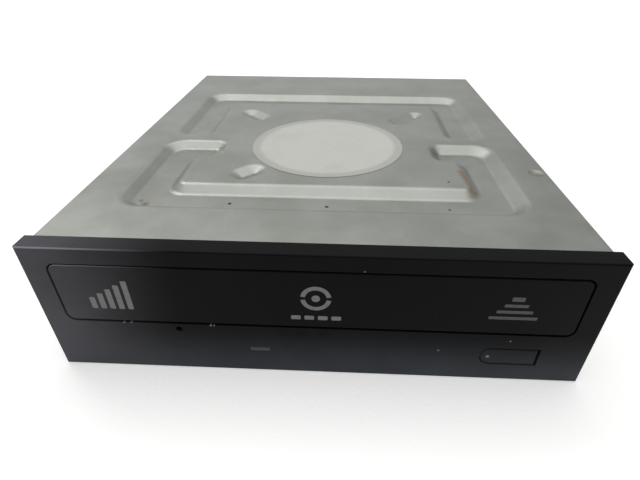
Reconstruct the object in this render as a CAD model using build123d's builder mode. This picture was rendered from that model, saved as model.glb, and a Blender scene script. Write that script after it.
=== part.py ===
from build123d import *
import os
from math import acos, atan, cos, degrees, pi, radians, sin, tan

# Internal DVD writer, in millimetres. X runs to the right, Y to the back and Z up.
# The origin is the middle of the underside of the whole drive.

# Casing and front, the standard half-height size
overall_depth = 170.0
body_width = 146.0
body_height = 41.5
bezel_thick = 5.2
bezel_overhang = 1.1
bezel_rise = 0.5
sheet = 0.8
fold_radius = 1.0

# Clearances shared by many pieces, and how far a cutting shape runs past a face
running_gap = 0.3
shaft_gap = 0.04
fit_gap = 0.1
past = 1.0

front_y = -overall_depth / 2
back_y = overall_depth / 2
seat_y = front_y + bezel_thick
side_x = body_width / 2
wall_x = side_x - sheet
roof_z = body_height - sheet
bezel_half = side_x + bezel_overhang
bezel_height = body_height + bezel_rise

# Spindle axis, and the pressed shapes of the top casing measured from the bezel's front
spindle_set_back = 70.5
spindle_y = front_y + spindle_set_back
press_depth = 2.5
press_slope = 3.5
press_top_softness = 2.6
press_floor_softness = 2.2
channel_width = 15.0
channel_half_span = side_x - 13.0
channel_back = 134.2
channel_break_back = 78.5
channel_break_front = 72.5
channel_front = 22.2
hook_end = channel_half_span - 23.0
channel_corner = 8.0
channel_inner_corner = 2.0
channel_end_corner = 5.0
dimple_width = 9.0
dimple_depth = 1.6
dimple_slope = 4.0
dimple_floor_softness = 1.2
dimple_x = channel_half_span - 27.5
front_dimple_x = channel_half_span - 35.0
dimple_spots = [(-dimple_x, 103.0, 17.0), (dimple_x, 102.0, 20.0), (-front_dimple_x, 46.0, 13.0)]
pit_spot = (side_x - 4.0, 49.5)
pit_radius = 2.6
pit_depth = 0.5
pressed_half_width = channel_half_span + 4.0
pressed_half_depth = back_y - 10.0
level_slack = 0.001
label_diameter = 55.0
label_thick = 0.12

# Mounting holes of the standard drive cage
mount_pitch = 79.25
mount_first = 47.4
mount_low = 10.0
mount_high = 21.9
mount_radius = 1.5
bottom_mount_x = side_x - 3.15
mount_rows = [seat_y + mount_first, seat_y + mount_first + mount_pitch]

# Cover screws, in tabs at the four corners
tab_inset = 10.0
tab_length = 10.0
tab_width = 10.0
screw_head = 2.6
screw_radius = 1.25
screw_length = 4.2
screw_slot = 0.5
tab_x = wall_x - tab_width / 2
tab_rows = [seat_y + tab_inset, back_y - tab_inset]
flange_height = 5.0
flange_inset = 17.0
rib_x = wall_x - 22.2
rib_length = overall_depth - 60.0
rib_width = 8.0
rib_depth = 1.0
rib_lean = 40.0

# Heights from the roof down: clamp, disc on its turntable, tray and gears
clamp_room = 2.2
clamp_top = roof_z - press_depth - clamp_room
clamp_flange_thick = 1.5
bridge_thick = 1.0
frame_top = clamp_top - clamp_flange_thick - running_gap - bridge_thick
clamp_face = frame_top - 2.7
disc_thick = 1.2
pad_thick = 0.3
table_top = clamp_face - disc_thick - pad_thick
nose_top = table_top + 2.3
tray_top = table_top + 1.0
tray_low = tray_top - 8.5
tray_flange_top = tray_low + 2.5
disc_floor = tray_top - 3.0
small_disc_floor = disc_floor - 1.0
ledge_top = tray_low - running_gap
rack_low = tray_low - 2.9
gear_top = tray_low - 0.4
wheel_high = rack_low - 0.8
wheel_low = wheel_high - 2.0
pulley_high = wheel_low - 0.4
pulley_low = pulley_high - 2.3
deck_top = pulley_low - running_gap

# Traverse, drawn raised, with its pivot at the back
trav_height = 11.5
trav_top = table_top - 5.5
trav_low = trav_top - trav_height
trav_front = spindle_y - 23.5
trav_back = back_y - 19.0
trav_skin = 2.0
pivot_y = trav_back - 4.0
pivot_z = trav_low + 4.0
pivot_radius = 2.0
bush_radius = 3.5
bush_length = 3.0
ear_half = 6.0

# Loader frame
frame_wall_outer = wall_x - 1.0
frame_wall = 1.7
frame_wall_inner = frame_wall_outer - frame_wall
frame_foot = 2.0
rail_inner = frame_wall_outer - 13.7
rail_web = 2.0
rail_low = 6.0
ledge_thick = 1.7
deck_thick = 1.8
deck_low = deck_top - deck_thick
deck_back = trav_front - 7.1
deck_half = frame_wall_outer - 1.0
rear_beam_back = back_y - 3.0
rear_beam_front = rear_beam_back - 7.7
rear_beam_top = ledge_top - 1.2
rear_beam_low = rear_beam_top - 7.0
rib_left = -15.0
deck_rib_depth = 3.0
deck_rib_thick = 1.8
hold_thick = 1.7
hold_half = 5.0
side_screw_play = 0.6
bottom_screw_play = 0.8
bottom_screw_way = 7.0
tab_screw_way = 6.0
tab_screw_room = 3.0
trav_half_width = rail_inner - 9.5

# Front panel: tray door, button, window and emergency hole
door_half_width = frame_wall_outer - 3.7
door_low = tray_low - 3.2
door_high = bezel_height - 5.2
door_corner = 2.2
door_gap = 0.45
door_gap_below = 0.6
door_thick = 1.8
door_rim = 1.2
door_depth = 3.4
door_edge = 0.3
door_collar = 1.5
bezel_skin = 2.0
bezel_edge = 0.5
button_width = 15.2
button_right = door_half_width - 7.0
button_left = button_right - button_width
button_low = 6.3
button_high = 12.0
button_gaps = {"left": 0.25, "right": 0.5, "below": 0.15, "above": 0.6}
button_travel = 0.8
button_face_back = 0.25
button_sleeve = 0.8
button_border = 1.5
button_lip = (1.2, 1.0)
button_neck_inset = (2.0, 1.0)
button_end_flat = 0.3
button_edge = 0.3
button_past_skin = 0.2
button_stem = (button_left + 4.7, button_right - 4.5)
button_stem_heights = (button_low + 0.9, button_high - 1.6)
window_x = -15.8
window_z = 8.8
window_width = 5.5
window_height = 1.5
window_fit = 0.05
pin_hole_x = -37.6
pin_hole_z = door_low - 2.5
pin_hole_radius = 0.9
hook_heights = (10.0, tray_top - 1.5)
hook_width = 6.0
hook_reach = 8.0
hook_thick = 1.4
barb_length = 2.0
barb_height = 1.2
hook_out = frame_wall_inner - fit_gap
hook_play = 0.4
leg_play = 0.3

# Tray
tray_half_width = frame_wall_outer - 9.0
tray_flange = tray_half_width + 2.3
tray_back = back_y - 12.0
tray_front = front_y + door_depth
tray_skin = 1.6
tray_deck_low = tray_top - tray_skin
disc_recess_radius = 60.5
small_disc_radius = 40.5
slot_half_width = 19.0
rack_module = 1.0
rack_pitch_x = -(tray_half_width - 10.2)
rack_back_x = -(tray_half_width - 5.2)
rack_end_gap = 1.0
door_peg_x = tray_half_width - 22.2
door_peg_half = 4.0
disc_tab_size = (3.0, 7.0, 0.8)
guide_stations = (seat_y + 11.8, spindle_y, tray_back - 31.0)

# Gears, all on upright posts
pinion_teeth = 16
wheel_teeth = 36
wheel_module = 0.7
small_teeth = 12
mesh_angle = 20.0
mesh_slack = 0.22
pressure_angle = radians(20.0)
root_depth = 1.25
flank_steps = 4
tooth_foot = 0.2
rack_overlap = 0.02
drive_x = rack_pitch_x + pinion_teeth / 2 * rack_module
drive_y = seat_y + 15.8
drive_hub = 3.4
wheel_centres = (wheel_teeth + small_teeth) / 2 * wheel_module
pulley_x = drive_x + wheel_centres * cos(radians(mesh_angle))
pulley_y = drive_y + wheel_centres * sin(radians(mesh_angle))
pulley_radius = 11.0
motor_pulley_radius = 3.5
belt_size = 1.2
belt_gap = 0.12
groove_share = 0.7
post_radius = 2.0
small_post_radius = 1.5
post_rise = 0.2
small_post_rise = 0.6
small_gear_rise = 0.4
motor_x = 8.0
motor_y = drive_y + 2.0
motor_radius = 12.0
motor_shaft = 1.0
motor_boss = 3.0
motor_boss_height = 0.6
motor_can_edge = 0.8
motor_opening = 1.2

# Clamp above the spindle
bridge_half_depth = 19.0
bridge_hole = 14.5
bridge_lip = 3.0
clamp_radius = 13.9
clamp_flange_radius = 17.0
clamp_plate_radius = 9.0
clamp_plate_thick = 1.4
clamp_plate_hole = 1.5
nose_room = 1.6
nose_play = 0.9

# Way of the pickup, its rods and its screw
bay_left = -(trav_half_width - 15.0)
bay_right = trav_half_width - 5.0
bay_front = spindle_y + 16.0
bay_back = trav_back - 6.0
rod_x = -bay_left - 4.0
rod_z = trav_low + 5.0
rod_radius = 1.5
screw_x = bay_right - 5.0
sled_motor_radius = 5.0
sled_motor_front = bay_back - 10.0
lead_radius = 1.5
lead_end_radius = 0.8
lead_end_gap = (0.4, 1.2)
lead_seat = 5.0
sled_boss = (2.0, 0.8)
pivot_end_gap = 0.2

# Cam that lifts the front of the traverse
lift_angle = 5.0
cam_pin_radius = 1.5
cam_pin_z = trav_low + 5.0
cam_pin_x = 18.0
cam_travel = 22.0
cam_slack = 0.5
cam_border = 2.4
cam_end = 6.0
cam_front = deck_back + running_gap
cam_thick = 2.0
cam_drop = (pivot_y - cam_front - cam_thick / 2) * sin(radians(lift_angle))
slider_foot_front = deck_back - 3.4
slider_foot_thick = 1.5
slider_foot_reach = 16.0
slider_foot_lap = 0.5
guide_left = 8.0
guide_width = 6.0
guide_thick = 1.3
guide_back = deck_back - 1.0
guide_roof = deck_top + 2 * running_gap + slider_foot_thick

# Spindle motor and turntable
shaft_radius = 1.2
rotor_radius = 14.0
rotor_wall = 0.9
rotor_roof = 0.8
rotor_top = table_top - 7.5
rotor_low = rotor_top - 7.3
table_radius = 14.5
table_thick = 3.0
table_stem = 6.0
table_recess = 0.6
table_play = 0.8
shaft_cover = 1.5
nose_radius = 7.45
nose_chamfer = 1.2
pad_width = 3.3
magnet_radius = 4.6
magnet_hole = 1.6
magnet_sink = 0.4
plate_low = trav_low + 0.6
plate_thick = 1.0
plate_top = plate_low + plate_thick
plate_half_width = table_radius + 9.5
plate_half_depth = 20.0
spindle_screws = [(x, spindle_y + y) for x in (-20.0, 20.0) for y in (-15.5, 10.5)]
spindle_screw_radius = 1.0
screw_boss_radius = 2.4
stator_mid = rotor_top - 4.3
stator_hub = 3.0
stator_head_room = 1.4
bore_foot = 0.5
stator_arms = 9
# each arm's centre and size: arm, winding and pole
stator_shapes = [(7.0, (9.0, 1.4, 1.6)), (6.9, (4.6, 3.0, 3.4)), (11.2, (1.2, 5.4, 1.8))]

# Pickup
pickup_front = bay_front + 1.0
pickup_back = pickup_front + 22.0
pickup_half_width = rod_x - 4.0
pickup_low = rod_z - 3.6
pickup_top = rod_z + 6.0
pickup_lid = 0.4
pickup_lid_corner = 1.5
runner_length = 6.0
runner_half = 3.1
runner_out = (3.0, 2.6)
fork_play = 0.6
lens_y = pickup_front + 7.0
lens_radius = 2.4
lens_rim = 0.6
lens_top = pickup_top + 4.8
holder_half_width = 9.0
holder_half_depth = 6.0
holder_low = pickup_top - 3.0
holder_top = pickup_top + 3.4
lens_low = holder_top - 1.0
holder_neck = 4.6
holder_gap = 0.6
nut_front = pickup_front + 1.5
nut_length = 7.0
nut_half = 3.6
nut_rise = 3.4

# Circuit boards
main_board_low = 3.2
main_board_thick = 1.6
main_board_top = main_board_low + main_board_thick
main_board_back = back_y - 3.0
main_board_front = back_y - 55.0
main_board_half_width = frame_wall_outer - 9.2
board_leg_x = main_board_half_width - 6.0
board_leg_half = 3.0
board_screw_y = rear_beam_front + 4.0
board_screw_radius = 1.5
board_screw_head = (2.8, 1.4)
front_board_low = 1.9
front_board_thick = 1.2
front_board_top = front_board_low + front_board_thick
front_board_left = window_x - 10.2
front_board_right = frame_wall_outer - 7.2
front_board_front = seat_y + 1.8
front_board_back = deck_back - 4.5
front_board_hole = 1.2
front_board_inset = 3.0
switch_tip = seat_y + 4.2
switch_body = (1.0, 4.5)
switch_pin = 1.2
switch_top = 11.0
lamp_y = seat_y + 3.6
lamp_height = 1.4
lamp_base = 0.8
lamp_half = (1.6, 0.8)
lamp_dome = 0.7
pipe_back = 2.0
pipe_front = 1.5
pipe_gap = 0.2

# What stands on the main board
chip_leg_pitch = 1.0
chip_leg = (1.4, 0.6)
chip_leg_out = 0.5
main_chip_x = -(main_board_half_width - 32.0)
driver_chip_x = main_chip_x + 26.0
memory_chip_x = -(main_board_half_width - 14.0)
chips = [
    ("main_chip", (main_chip_x, main_board_back - 28.0), (20.0, 20.0, 1.5)),
    ("driver_chip", (driver_chip_x, main_board_back - 16.0), (14.0, 9.0, 1.9)),
    ("memory_chip", (memory_chip_x, main_board_back - 44.0), (10.0, 8.0, 1.1)),
]
plug_width = 42.0
plug_right = board_leg_x - board_leg_half - 3.0
plug_left = plug_right - plug_width
plug_front = back_y - 12.0
plug_top = main_board_top + 7.0
plug_mid = main_board_top + 3.5
plug_wall = 1.2
plug_depth = 6.0
plug_tongue = 1.4
plug_tongue_back = 0.4
plug_tongue_thick = 1.2
plug_key = (1.2, 1.6)
plug_side_gap = 1.0
plug_head_room = 0.6
plug_wells = [(plug_left + 2.0, plug_left + 15.4), (plug_left + 17.2, plug_right - 1.8)]
contact_counts = (6, 13)
contact_pitch = 1.27
contact_size = (0.7, 0.15)
contact_first = 3.6
capacitor_spots = [
    (driver_chip_x + 18.0, main_board_back - 22.0),
    (plug_left - 10.0, main_board_back - 5.0),
    (-(main_board_half_width - 10.0), main_board_back - 16.0),
]
capacitor_radius = 2.5
capacitor_height = 5.4
capacitor_edge = 0.5
socket_front = main_board_front + 3.0
socket_half = 11.0
socket_depth = 5.0
socket_height = 2.6
socket_slot = (1.2, 1.5)
socket_slot_depth = 3.0
socket_end = 1.0
front_cable_x = (rib_x - 20.0, rib_x - 8.0)
cable_thick = 0.2
cable_half = 9.0
cable_bend = 0.6
cable_run_z = 1.3
pickup_cable_lap = 4.0
pickup_cable_turn = 14.0
pickup_cable_lift = 1.4
pickup_cable_loop = 5.0
front_cable_down = 4.0
front_cable_up = 3.0

os.makedirs("parts", exist_ok=True)


def block(x, y, z, mode=Mode.ADD):
    with Locations(((x[0] + x[1]) / 2, (y[0] + y[1]) / 2, (z[0] + z[1]) / 2)):
        Box(x[1] - x[0], y[1] - y[0], z[1] - z[0], mode=mode)


def post(x, y, z, radius, mode=Mode.ADD):
    with Locations((x, y, (z[0] + z[1]) / 2)):
        Cylinder(radius, z[1] - z[0], mode=mode)


def rod_along_y(x, y, z, radius, mode=Mode.ADD):
    with Locations((x, (y[0] + y[1]) / 2, z)):
        Cylinder(radius, y[1] - y[0], rotation=(90, 0, 0), mode=mode)


def rod_along_x(x, y, z, radius, mode=Mode.ADD):
    with Locations(((x[0] + x[1]) / 2, y, z)):
        Cylinder(radius, x[1] - x[0], rotation=(0, 90, 0), mode=mode)


def save(piece, name):
    piece.part.label = name
    export_step(piece.part, f"parts/{name}.step")


# Pressed channels: each outline is a polygon whose corners are rounded one by one
def rounded_outline(corners, grow=0.0):
    points = [point for point, radius in corners]
    with BuildSketch() as outline:
        with BuildLine():
            Polyline(*points, close=True)
        make_face()
        for point, radius in corners:
            spot = min(outline.vertices(), key=lambda v: (v.X - point[0]) ** 2 + (v.Y - point[1]) ** 2)
            fillet(spot, radius)
        if grow:
            offset(amount=grow, kind=Kind.INTERSECTION)
    return outline.sketch


def back_channel():
    outer = channel_half_span
    inner = outer - channel_width
    back = front_y + channel_back
    floor = back - channel_width
    end = front_y + channel_break_back
    return [
        ((-outer, end), channel_end_corner),
        ((-inner, end), channel_end_corner),
        ((-inner, floor), channel_inner_corner),
        ((inner, floor), channel_inner_corner),
        ((inner, end), channel_end_corner),
        ((outer, end), channel_end_corner),
        ((outer, back), channel_corner),
        ((-outer, back), channel_corner),
    ]


def front_channel():
    outer = channel_half_span
    inner = outer - channel_width
    front = front_y + channel_front
    floor = front + channel_width
    end = front_y + channel_break_front
    hook = end - channel_width
    return [
        ((-outer, front), channel_corner),
        ((outer, front), channel_corner),
        ((outer, end), channel_corner),
        ((hook_end, end), channel_end_corner),
        ((hook_end, hook), channel_end_corner),
        ((inner, hook), channel_inner_corner),
        ((inner, floor), channel_inner_corner),
        ((-inner, floor), channel_inner_corner),
        ((-inner, hook), channel_inner_corner),
        ((-hook_end, hook), channel_end_corner),
        ((-hook_end, end), channel_end_corner),
        ((-outer, end), channel_corner),
    ]


def press(outline, under, depth, slope):
    # the sheet keeps its thickness where it is pressed down along a slope
    lean = degrees(atan(slope / depth))
    extrude(under.moved(Location((0, 0, roof_z))), amount=-depth, taper=lean)
    extrude(outline.moved(Location((0, 0, body_height))), amount=-depth, taper=lean, mode=Mode.SUBTRACT)


def sheet_growth(depth, slope):
    return sheet / sin(atan(depth / slope)) - sheet * slope / depth


def pressed_edges(piece, level):
    # the edges round the pressed shapes in one level, without the casing's own folds
    chosen = []
    for edge in piece.edges():
        spots = [edge @ 0, edge @ 0.5, edge @ 1]
        flat = all(abs(spot.Z - level) < level_slack for spot in spots)
        inside = all(abs(spot.X) < pressed_half_width and abs(spot.Y) < pressed_half_depth for spot in spots)
        if flat and inside:
            chosen.append(edge)
    return chosen


with BuildPart() as top_cover:
    block((-side_x, side_x), (seat_y, back_y), (0, body_height))
    fillet(top_cover.edges().filter_by(Axis.Y).group_by(Axis.Z)[-1], fold_radius)
    fillet(top_cover.edges().group_by(Axis.Y)[-1].group_by(Axis.Z)[-1], fold_radius)
    block((-wall_x, wall_x), (seat_y, back_y - sheet), (0, roof_z), mode=Mode.SUBTRACT)
    for corners in (back_channel(), front_channel()):
        growth = sheet_growth(press_depth, press_slope)
        press(rounded_outline(corners), rounded_outline(corners, growth), press_depth, press_slope)
    for x, set_back, length in dimple_spots:
        turn = degrees(atan((set_back - spindle_set_back) / x))
        spot = Location((x, front_y + set_back, 0), (0, 0, turn))
        growth = 2 * sheet_growth(dimple_depth, dimple_slope)
        with BuildSketch() as dimple:
            SlotOverall(length, dimple_width)
        with BuildSketch() as dimple_under:
            SlotOverall(length + growth, dimple_width + growth)
        press(dimple.sketch.moved(spot), dimple_under.sketch.moved(spot), dimple_depth, dimple_slope)
    # the sheet bends softly at the top and the floor of each pressed shape
    for drop, softness in ((0, press_top_softness), (press_depth, press_floor_softness),
                           (dimple_depth, dimple_floor_softness)):
        fillet(pressed_edges(top_cover, body_height - drop), softness)
    pit_curve = (pit_radius**2 + pit_depth**2) / (2 * pit_depth)
    with Locations((pit_spot[0], front_y + pit_spot[1], body_height - pit_depth + pit_curve)):
        Sphere(pit_curve, mode=Mode.SUBTRACT)
    # tabs folded in at the lower edge take the bottom screws
    for x in (-1, 1):
        for y in tab_rows:
            tab = sorted((x * (wall_x - tab_width), x * (wall_x + sheet / 2)))
            block(tab, (y - tab_length / 2, y + tab_length / 2), (sheet + fit_gap, 2 * sheet + fit_gap))
            post(x * tab_x, y, (0, 2 * sheet + past), screw_radius, mode=Mode.SUBTRACT)
    for x in (-side_x, side_x):
        for row in (mount_low, mount_high):
            for y in mount_rows:
                rod_along_x((x - past, x + past), y, row, mount_radius, mode=Mode.SUBTRACT)
    # opening in the back wall for the connector
    block((plug_left - plug_side_gap, plug_right + plug_side_gap), (back_y - sheet - past, back_y + past),
          (main_board_low, plug_top + plug_head_room), mode=Mode.SUBTRACT)
save(top_cover, "top_cover")

with BuildPart() as spindle_label:
    post(0, spindle_y, (body_height, body_height + label_thick), label_diameter / 2)
save(spindle_label, "spindle_label")

with BuildPart() as bottom_cover:
    edge = wall_x - fit_gap
    block((-edge, edge), (seat_y, back_y - sheet - fit_gap), (0, sheet))
    # low upturned flanges between the tabs of the top casing
    for x in (-1, 1):
        flange = sorted((x * edge, x * (edge - sheet)))
        block(flange, (seat_y + flange_inset, back_y - flange_inset), (0, flange_height))
        for y in tab_rows:
            with Locations((x * tab_x, y, sheet / 2)):
                Cone(screw_head + fit_gap, screw_head - sheet + fit_gap, sheet, mode=Mode.SUBTRACT)
        for y in mount_rows:
            post(x * bottom_mount_x, y, (-past, sheet + past), mount_radius, mode=Mode.SUBTRACT)
    # two long stiffening ribs pressed inwards
    for x in (-rib_x, rib_x):
        with BuildSketch(Plane.XY.offset(sheet)) as rib_under:
            with Locations((x, 0)):
                SlotOverall(rib_length + 2 * sheet, rib_width + 2 * sheet, rotation=90)
        extrude(amount=rib_depth, taper=rib_lean)
        with BuildSketch(Plane.XY) as rib_hollow:
            with Locations((x, 0)):
                SlotOverall(rib_length, rib_width, rotation=90)
        extrude(amount=rib_depth, taper=rib_lean, mode=Mode.SUBTRACT)
save(bottom_cover, "bottom_cover")

with BuildPart() as cover_screws:
    for x in (-tab_x, tab_x):
        for y in tab_rows:
            with Locations((x, y, sheet / 2)):
                Cone(screw_head, screw_head - sheet, sheet)
            post(x, y, (sheet, screw_length), screw_radius)
            with Locations((x, y, screw_slot / 2)):
                Box(screw_head, screw_slot, screw_slot, mode=Mode.SUBTRACT)
                Box(screw_slot, screw_head, screw_slot, mode=Mode.SUBTRACT)
save(cover_screws, "cover_screws")

# Front bezel: a moulded shell open at the back, with a collar round the tray opening
door_sides = (-door_half_width - door_gap, door_half_width + door_gap)
door_ends = (door_low - door_gap_below, door_high + door_gap)
opening_size = (door_sides[1] - door_sides[0], door_ends[1] - door_ends[0])
button_ends = (button_left, button_right)
button_heights = (button_low, button_high)


def button_outline(y, x, z):
    # upright face at the depth y: a bar with its left end rounded
    with BuildSketch(Plane.XZ.offset(-y), mode=Mode.PRIVATE) as outline:
        with Locations(((x[0] + x[1]) / 2, (z[0] + z[1]) / 2)):
            Rectangle(x[1] - x[0], z[1] - z[0])
        fillet(outline.vertices().group_by(Axis.X)[0], (z[1] - z[0]) / 2 - button_end_flat)
    return outline.sketch


with BuildPart() as bezel:
    block((-bezel_half, bezel_half), (front_y, seat_y), (0, bezel_height))
    fillet(bezel.edges().group_by(Axis.Y)[0], bezel_edge)
    block((bezel_skin - bezel_half, bezel_half - bezel_skin), (front_y + bezel_skin, seat_y),
          (bezel_skin, bezel_height - bezel_skin), mode=Mode.SUBTRACT)
    block((door_sides[0] - door_collar, door_sides[1] + door_collar), (front_y + bezel_skin, seat_y),
          (door_ends[0] - door_collar, door_ends[1] + door_collar))
    with BuildSketch(Plane.XZ.offset(-front_y)) as tray_opening:
        with Locations((0, (door_ends[0] + door_ends[1]) / 2)):
            RectangleRounded(*opening_size, door_corner + door_gap)
    extrude(amount=-bezel_thick, mode=Mode.SUBTRACT)
    # sleeve round the button
    block((button_left - button_border, button_right + button_border),
          (front_y + bezel_skin, front_y + bezel_skin + button_sleeve),
          (button_low - button_border, button_high + button_border))
    opening_ends = (button_left - button_gaps["left"], button_right + button_gaps["right"])
    opening_heights = (button_low - button_gaps["below"], button_high + button_gaps["above"])
    extrude(button_outline(front_y, opening_ends, opening_heights), amount=-bezel_thick, mode=Mode.SUBTRACT)
    window_half = (window_width / 2 + window_fit, window_height / 2 + window_fit)
    block((window_x - window_half[0], window_x + window_half[0]), (front_y, seat_y),
          (window_z - window_half[1], window_z + window_half[1]), mode=Mode.SUBTRACT)
    rod_along_y(pin_hole_x, (front_y, seat_y), pin_hole_z, pin_hole_radius, mode=Mode.SUBTRACT)
    # four hooks that catch in the loader frame
    for x in (-1, 1):
        for z in hook_heights:
            heights = (z - hook_width / 2, z + hook_width / 2)
            leg = sorted((x * hook_out, x * (hook_out - hook_thick)))
            block(leg, (front_y + bezel_skin, seat_y + hook_reach), heights)
            barb = sorted((x * hook_out, x * (hook_out + barb_height)))
            block(barb, (seat_y + hook_reach - barb_length, seat_y + hook_reach), heights)
save(bezel, "bezel")

with BuildPart() as tray_panel:
    door_middle = (0, (door_low + door_high) / 2)
    with BuildSketch(Plane.XZ.offset(-front_y)) as door_face:
        with Locations(door_middle):
            RectangleRounded(2 * door_half_width, door_high - door_low, door_corner)
    extrude(amount=-door_depth)
    fillet(tray_panel.edges().group_by(Axis.Y)[0], door_edge)
    with BuildSketch(Plane.XZ.offset(-front_y - door_thick)) as door_hollow:
        with Locations(door_middle):
            RectangleRounded(2 * (door_half_width - door_rim), door_high - door_low - 2 * door_rim,
                             door_corner - door_rim)
    extrude(amount=door_thick - door_depth, mode=Mode.SUBTRACT)
save(tray_panel, "tray_panel")

with BuildPart() as eject_button:
    button_face = front_y + button_face_back
    extrude(button_outline(button_face, button_ends, button_heights), amount=-(bezel_skin + button_past_skin))
    fillet(eject_button.edges().group_by(Axis.Y)[0], button_edge)
    lip_front = front_y + bezel_skin + button_sleeve + running_gap
    block((button_left + button_neck_inset[0], button_right - button_neck_inset[0]),
          (button_face + bezel_skin, lip_front),
          (button_low + button_neck_inset[1], button_high - button_neck_inset[1]))
    block((button_left - button_lip[0], button_right + button_lip[0]), (lip_front, lip_front + button_lip[1]),
          (button_low - button_lip[1], button_high + button_lip[1]))
    block(button_stem, (lip_front, switch_tip - button_travel - fit_gap), button_stem_heights)
save(eject_button, "eject_button")

with BuildPart() as indicator_window:
    window_span = (window_x - window_width / 2, window_x + window_width / 2)
    block(window_span, (front_y + fit_gap, lamp_y + pipe_back),
          (window_z - window_height / 2, window_z + window_height / 2))
    block(window_span, (lamp_y - pipe_front, lamp_y + pipe_back),
          (front_board_top + lamp_height + pipe_gap, window_z))
save(indicator_window, "indicator_window")

with BuildPart() as loader_frame:
    frame_front = seat_y + running_gap
    for x in (-1, 1):
        # outer wall, ledge under the tray and inner rail
        wall = sorted((x * frame_wall_inner, x * frame_wall_outer))
        block(wall, (frame_front, rear_beam_back), (frame_foot, frame_top))
        ledge = sorted((x * rail_inner, x * frame_wall_inner))
        block(ledge, (frame_front, rear_beam_back), (ledge_top - ledge_thick, ledge_top))
        rail = sorted((x * rail_inner, x * (rail_inner + rail_web)))
        block(rail, (deck_back, rear_beam_back), (rail_low, ledge_top))
        # hooks over the tray's flange
        for y in guide_stations:
            hold = sorted((x * (tray_half_width + running_gap), x * frame_wall_inner))
            hold_low = tray_flange_top + running_gap
            block(hold, (y - hold_half, y + hold_half), (hold_low, hold_low + hold_thick))
        # seat of the traverse pivot
        ear = sorted((x * rail_inner, x * (rail_inner + bush_length)))
        block(ear, (pivot_y - ear_half, pivot_y + ear_half), (pivot_z - ear_half, ledge_top - ledge_thick))
        ear_span = sorted((x * (rail_inner - past), x * (rail_inner + bush_length)))
        rod_along_x(ear_span, pivot_y, pivot_z, bush_radius, mode=Mode.SUBTRACT)
    block((-deck_half, deck_half), (frame_front, deck_back), (deck_low, deck_top))
    block((-deck_half, deck_half), (rear_beam_front, rear_beam_back), (rear_beam_low, rear_beam_top))
    # stiffening rib under the front deck, and legs that reach the main board
    block((rib_left, deck_half), (deck_back - deck_rib_thick, deck_back),
          (deck_low - deck_rib_depth, deck_low))
    for x in (-board_leg_x, board_leg_x):
        block((x - board_leg_half, x + board_leg_half), (rear_beam_front, rear_beam_back),
              (main_board_top, rear_beam_low))
    post(drive_x, drive_y, (deck_top - past, gear_top + post_rise), post_radius)
    post(pulley_x, pulley_y, (deck_top - past, wheel_high + small_post_rise), small_post_radius)
    # holder that keeps the cam slider down
    guide_span = (guide_left, guide_left + guide_width)
    guide_front = slider_foot_front - guide_thick
    block(guide_span, (guide_front, slider_foot_front - running_gap), (deck_top, guide_roof + guide_thick))
    block(guide_span, (guide_front, guide_back), (guide_roof, guide_roof + guide_thick))
    post(motor_x, motor_y, (deck_low - past, deck_top + past), motor_pulley_radius + motor_opening,
         mode=Mode.SUBTRACT)
    # way in for the side screws and the bottom screws
    for x in (-1, 1):
        wall_cut = sorted((x * (frame_wall_inner - past), x * (frame_wall_outer + past)))
        for y in mount_rows:
            for row in (mount_low, mount_high):
                rod_along_x(wall_cut, y, row, mount_radius + side_screw_play, mode=Mode.SUBTRACT)
            post(x * bottom_mount_x, y, (0, bottom_screw_way), mount_radius + bottom_screw_play,
                 mode=Mode.SUBTRACT)
        for y in tab_rows:
            post(x * tab_x, y, (0, tab_screw_way), tab_screw_room, mode=Mode.SUBTRACT)
        # catches and slots of the bezel's hooks
        catch_back = seat_y + hook_reach + hook_play
        for z in hook_heights:
            catch = sorted((x * (hook_out - 2 * fit_gap), x * (frame_wall_outer + past)))
            catch_half = hook_width / 2 + hook_play
            block(catch, (seat_y + hook_reach - barb_length - hook_play, catch_back),
                  (z - catch_half, z + catch_half), mode=Mode.SUBTRACT)
            leg = sorted((x * (hook_out - hook_thick - leg_play), x * hook_out))
            leg_half = hook_width / 2 + leg_play
            block(leg, (seat_y, catch_back), (z - leg_half, z + leg_half), mode=Mode.SUBTRACT)
save(loader_frame, "loader_frame")

with BuildPart() as pivot_bushes:
    for x in (-1, 1):
        span = sorted((x * rail_inner, x * (rail_inner + bush_length)))
        rod_along_x(span, pivot_y, pivot_z, bush_radius)
        rod_along_x(span, pivot_y, pivot_z, pivot_radius + shaft_gap, mode=Mode.SUBTRACT)
save(pivot_bushes, "pivot_bushes")

# Clamp over the spindle
with BuildPart() as clamp_bridge:
    bridge_top = frame_top + bridge_thick
    block((-frame_wall_outer, frame_wall_outer),
          (spindle_y - bridge_half_depth, spindle_y + bridge_half_depth), (frame_top, bridge_top))
    for y in (-1, 1):
        lip = sorted((spindle_y + y * bridge_half_depth, spindle_y + y * (bridge_half_depth - bridge_thick)))
        block((-rail_inner, rail_inner), lip, (frame_top, frame_top + bridge_lip))
    post(0, spindle_y, (frame_top - past, frame_top + bridge_lip + past), bridge_hole, mode=Mode.SUBTRACT)
save(clamp_bridge, "clamp_bridge")

with BuildPart() as clamp_disc:
    flange_low = bridge_top + running_gap
    post(0, spindle_y, (clamp_face, flange_low), clamp_radius)
    post(0, spindle_y, (flange_low, clamp_top), clamp_flange_radius)
    post(0, spindle_y, (clamp_face, nose_top + nose_room), nose_radius + nose_play, mode=Mode.SUBTRACT)
    post(0, spindle_y, (clamp_top - clamp_plate_thick, clamp_top), clamp_plate_radius, mode=Mode.SUBTRACT)
save(clamp_disc, "clamp_disc")

with BuildPart() as clamp_plate:
    post(0, spindle_y, (clamp_top - clamp_plate_thick, clamp_top), clamp_plate_radius)
    post(0, spindle_y, (clamp_top - clamp_plate_thick, clamp_top), clamp_plate_hole, mode=Mode.SUBTRACT)
save(clamp_plate, "clamp_plate")

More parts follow.
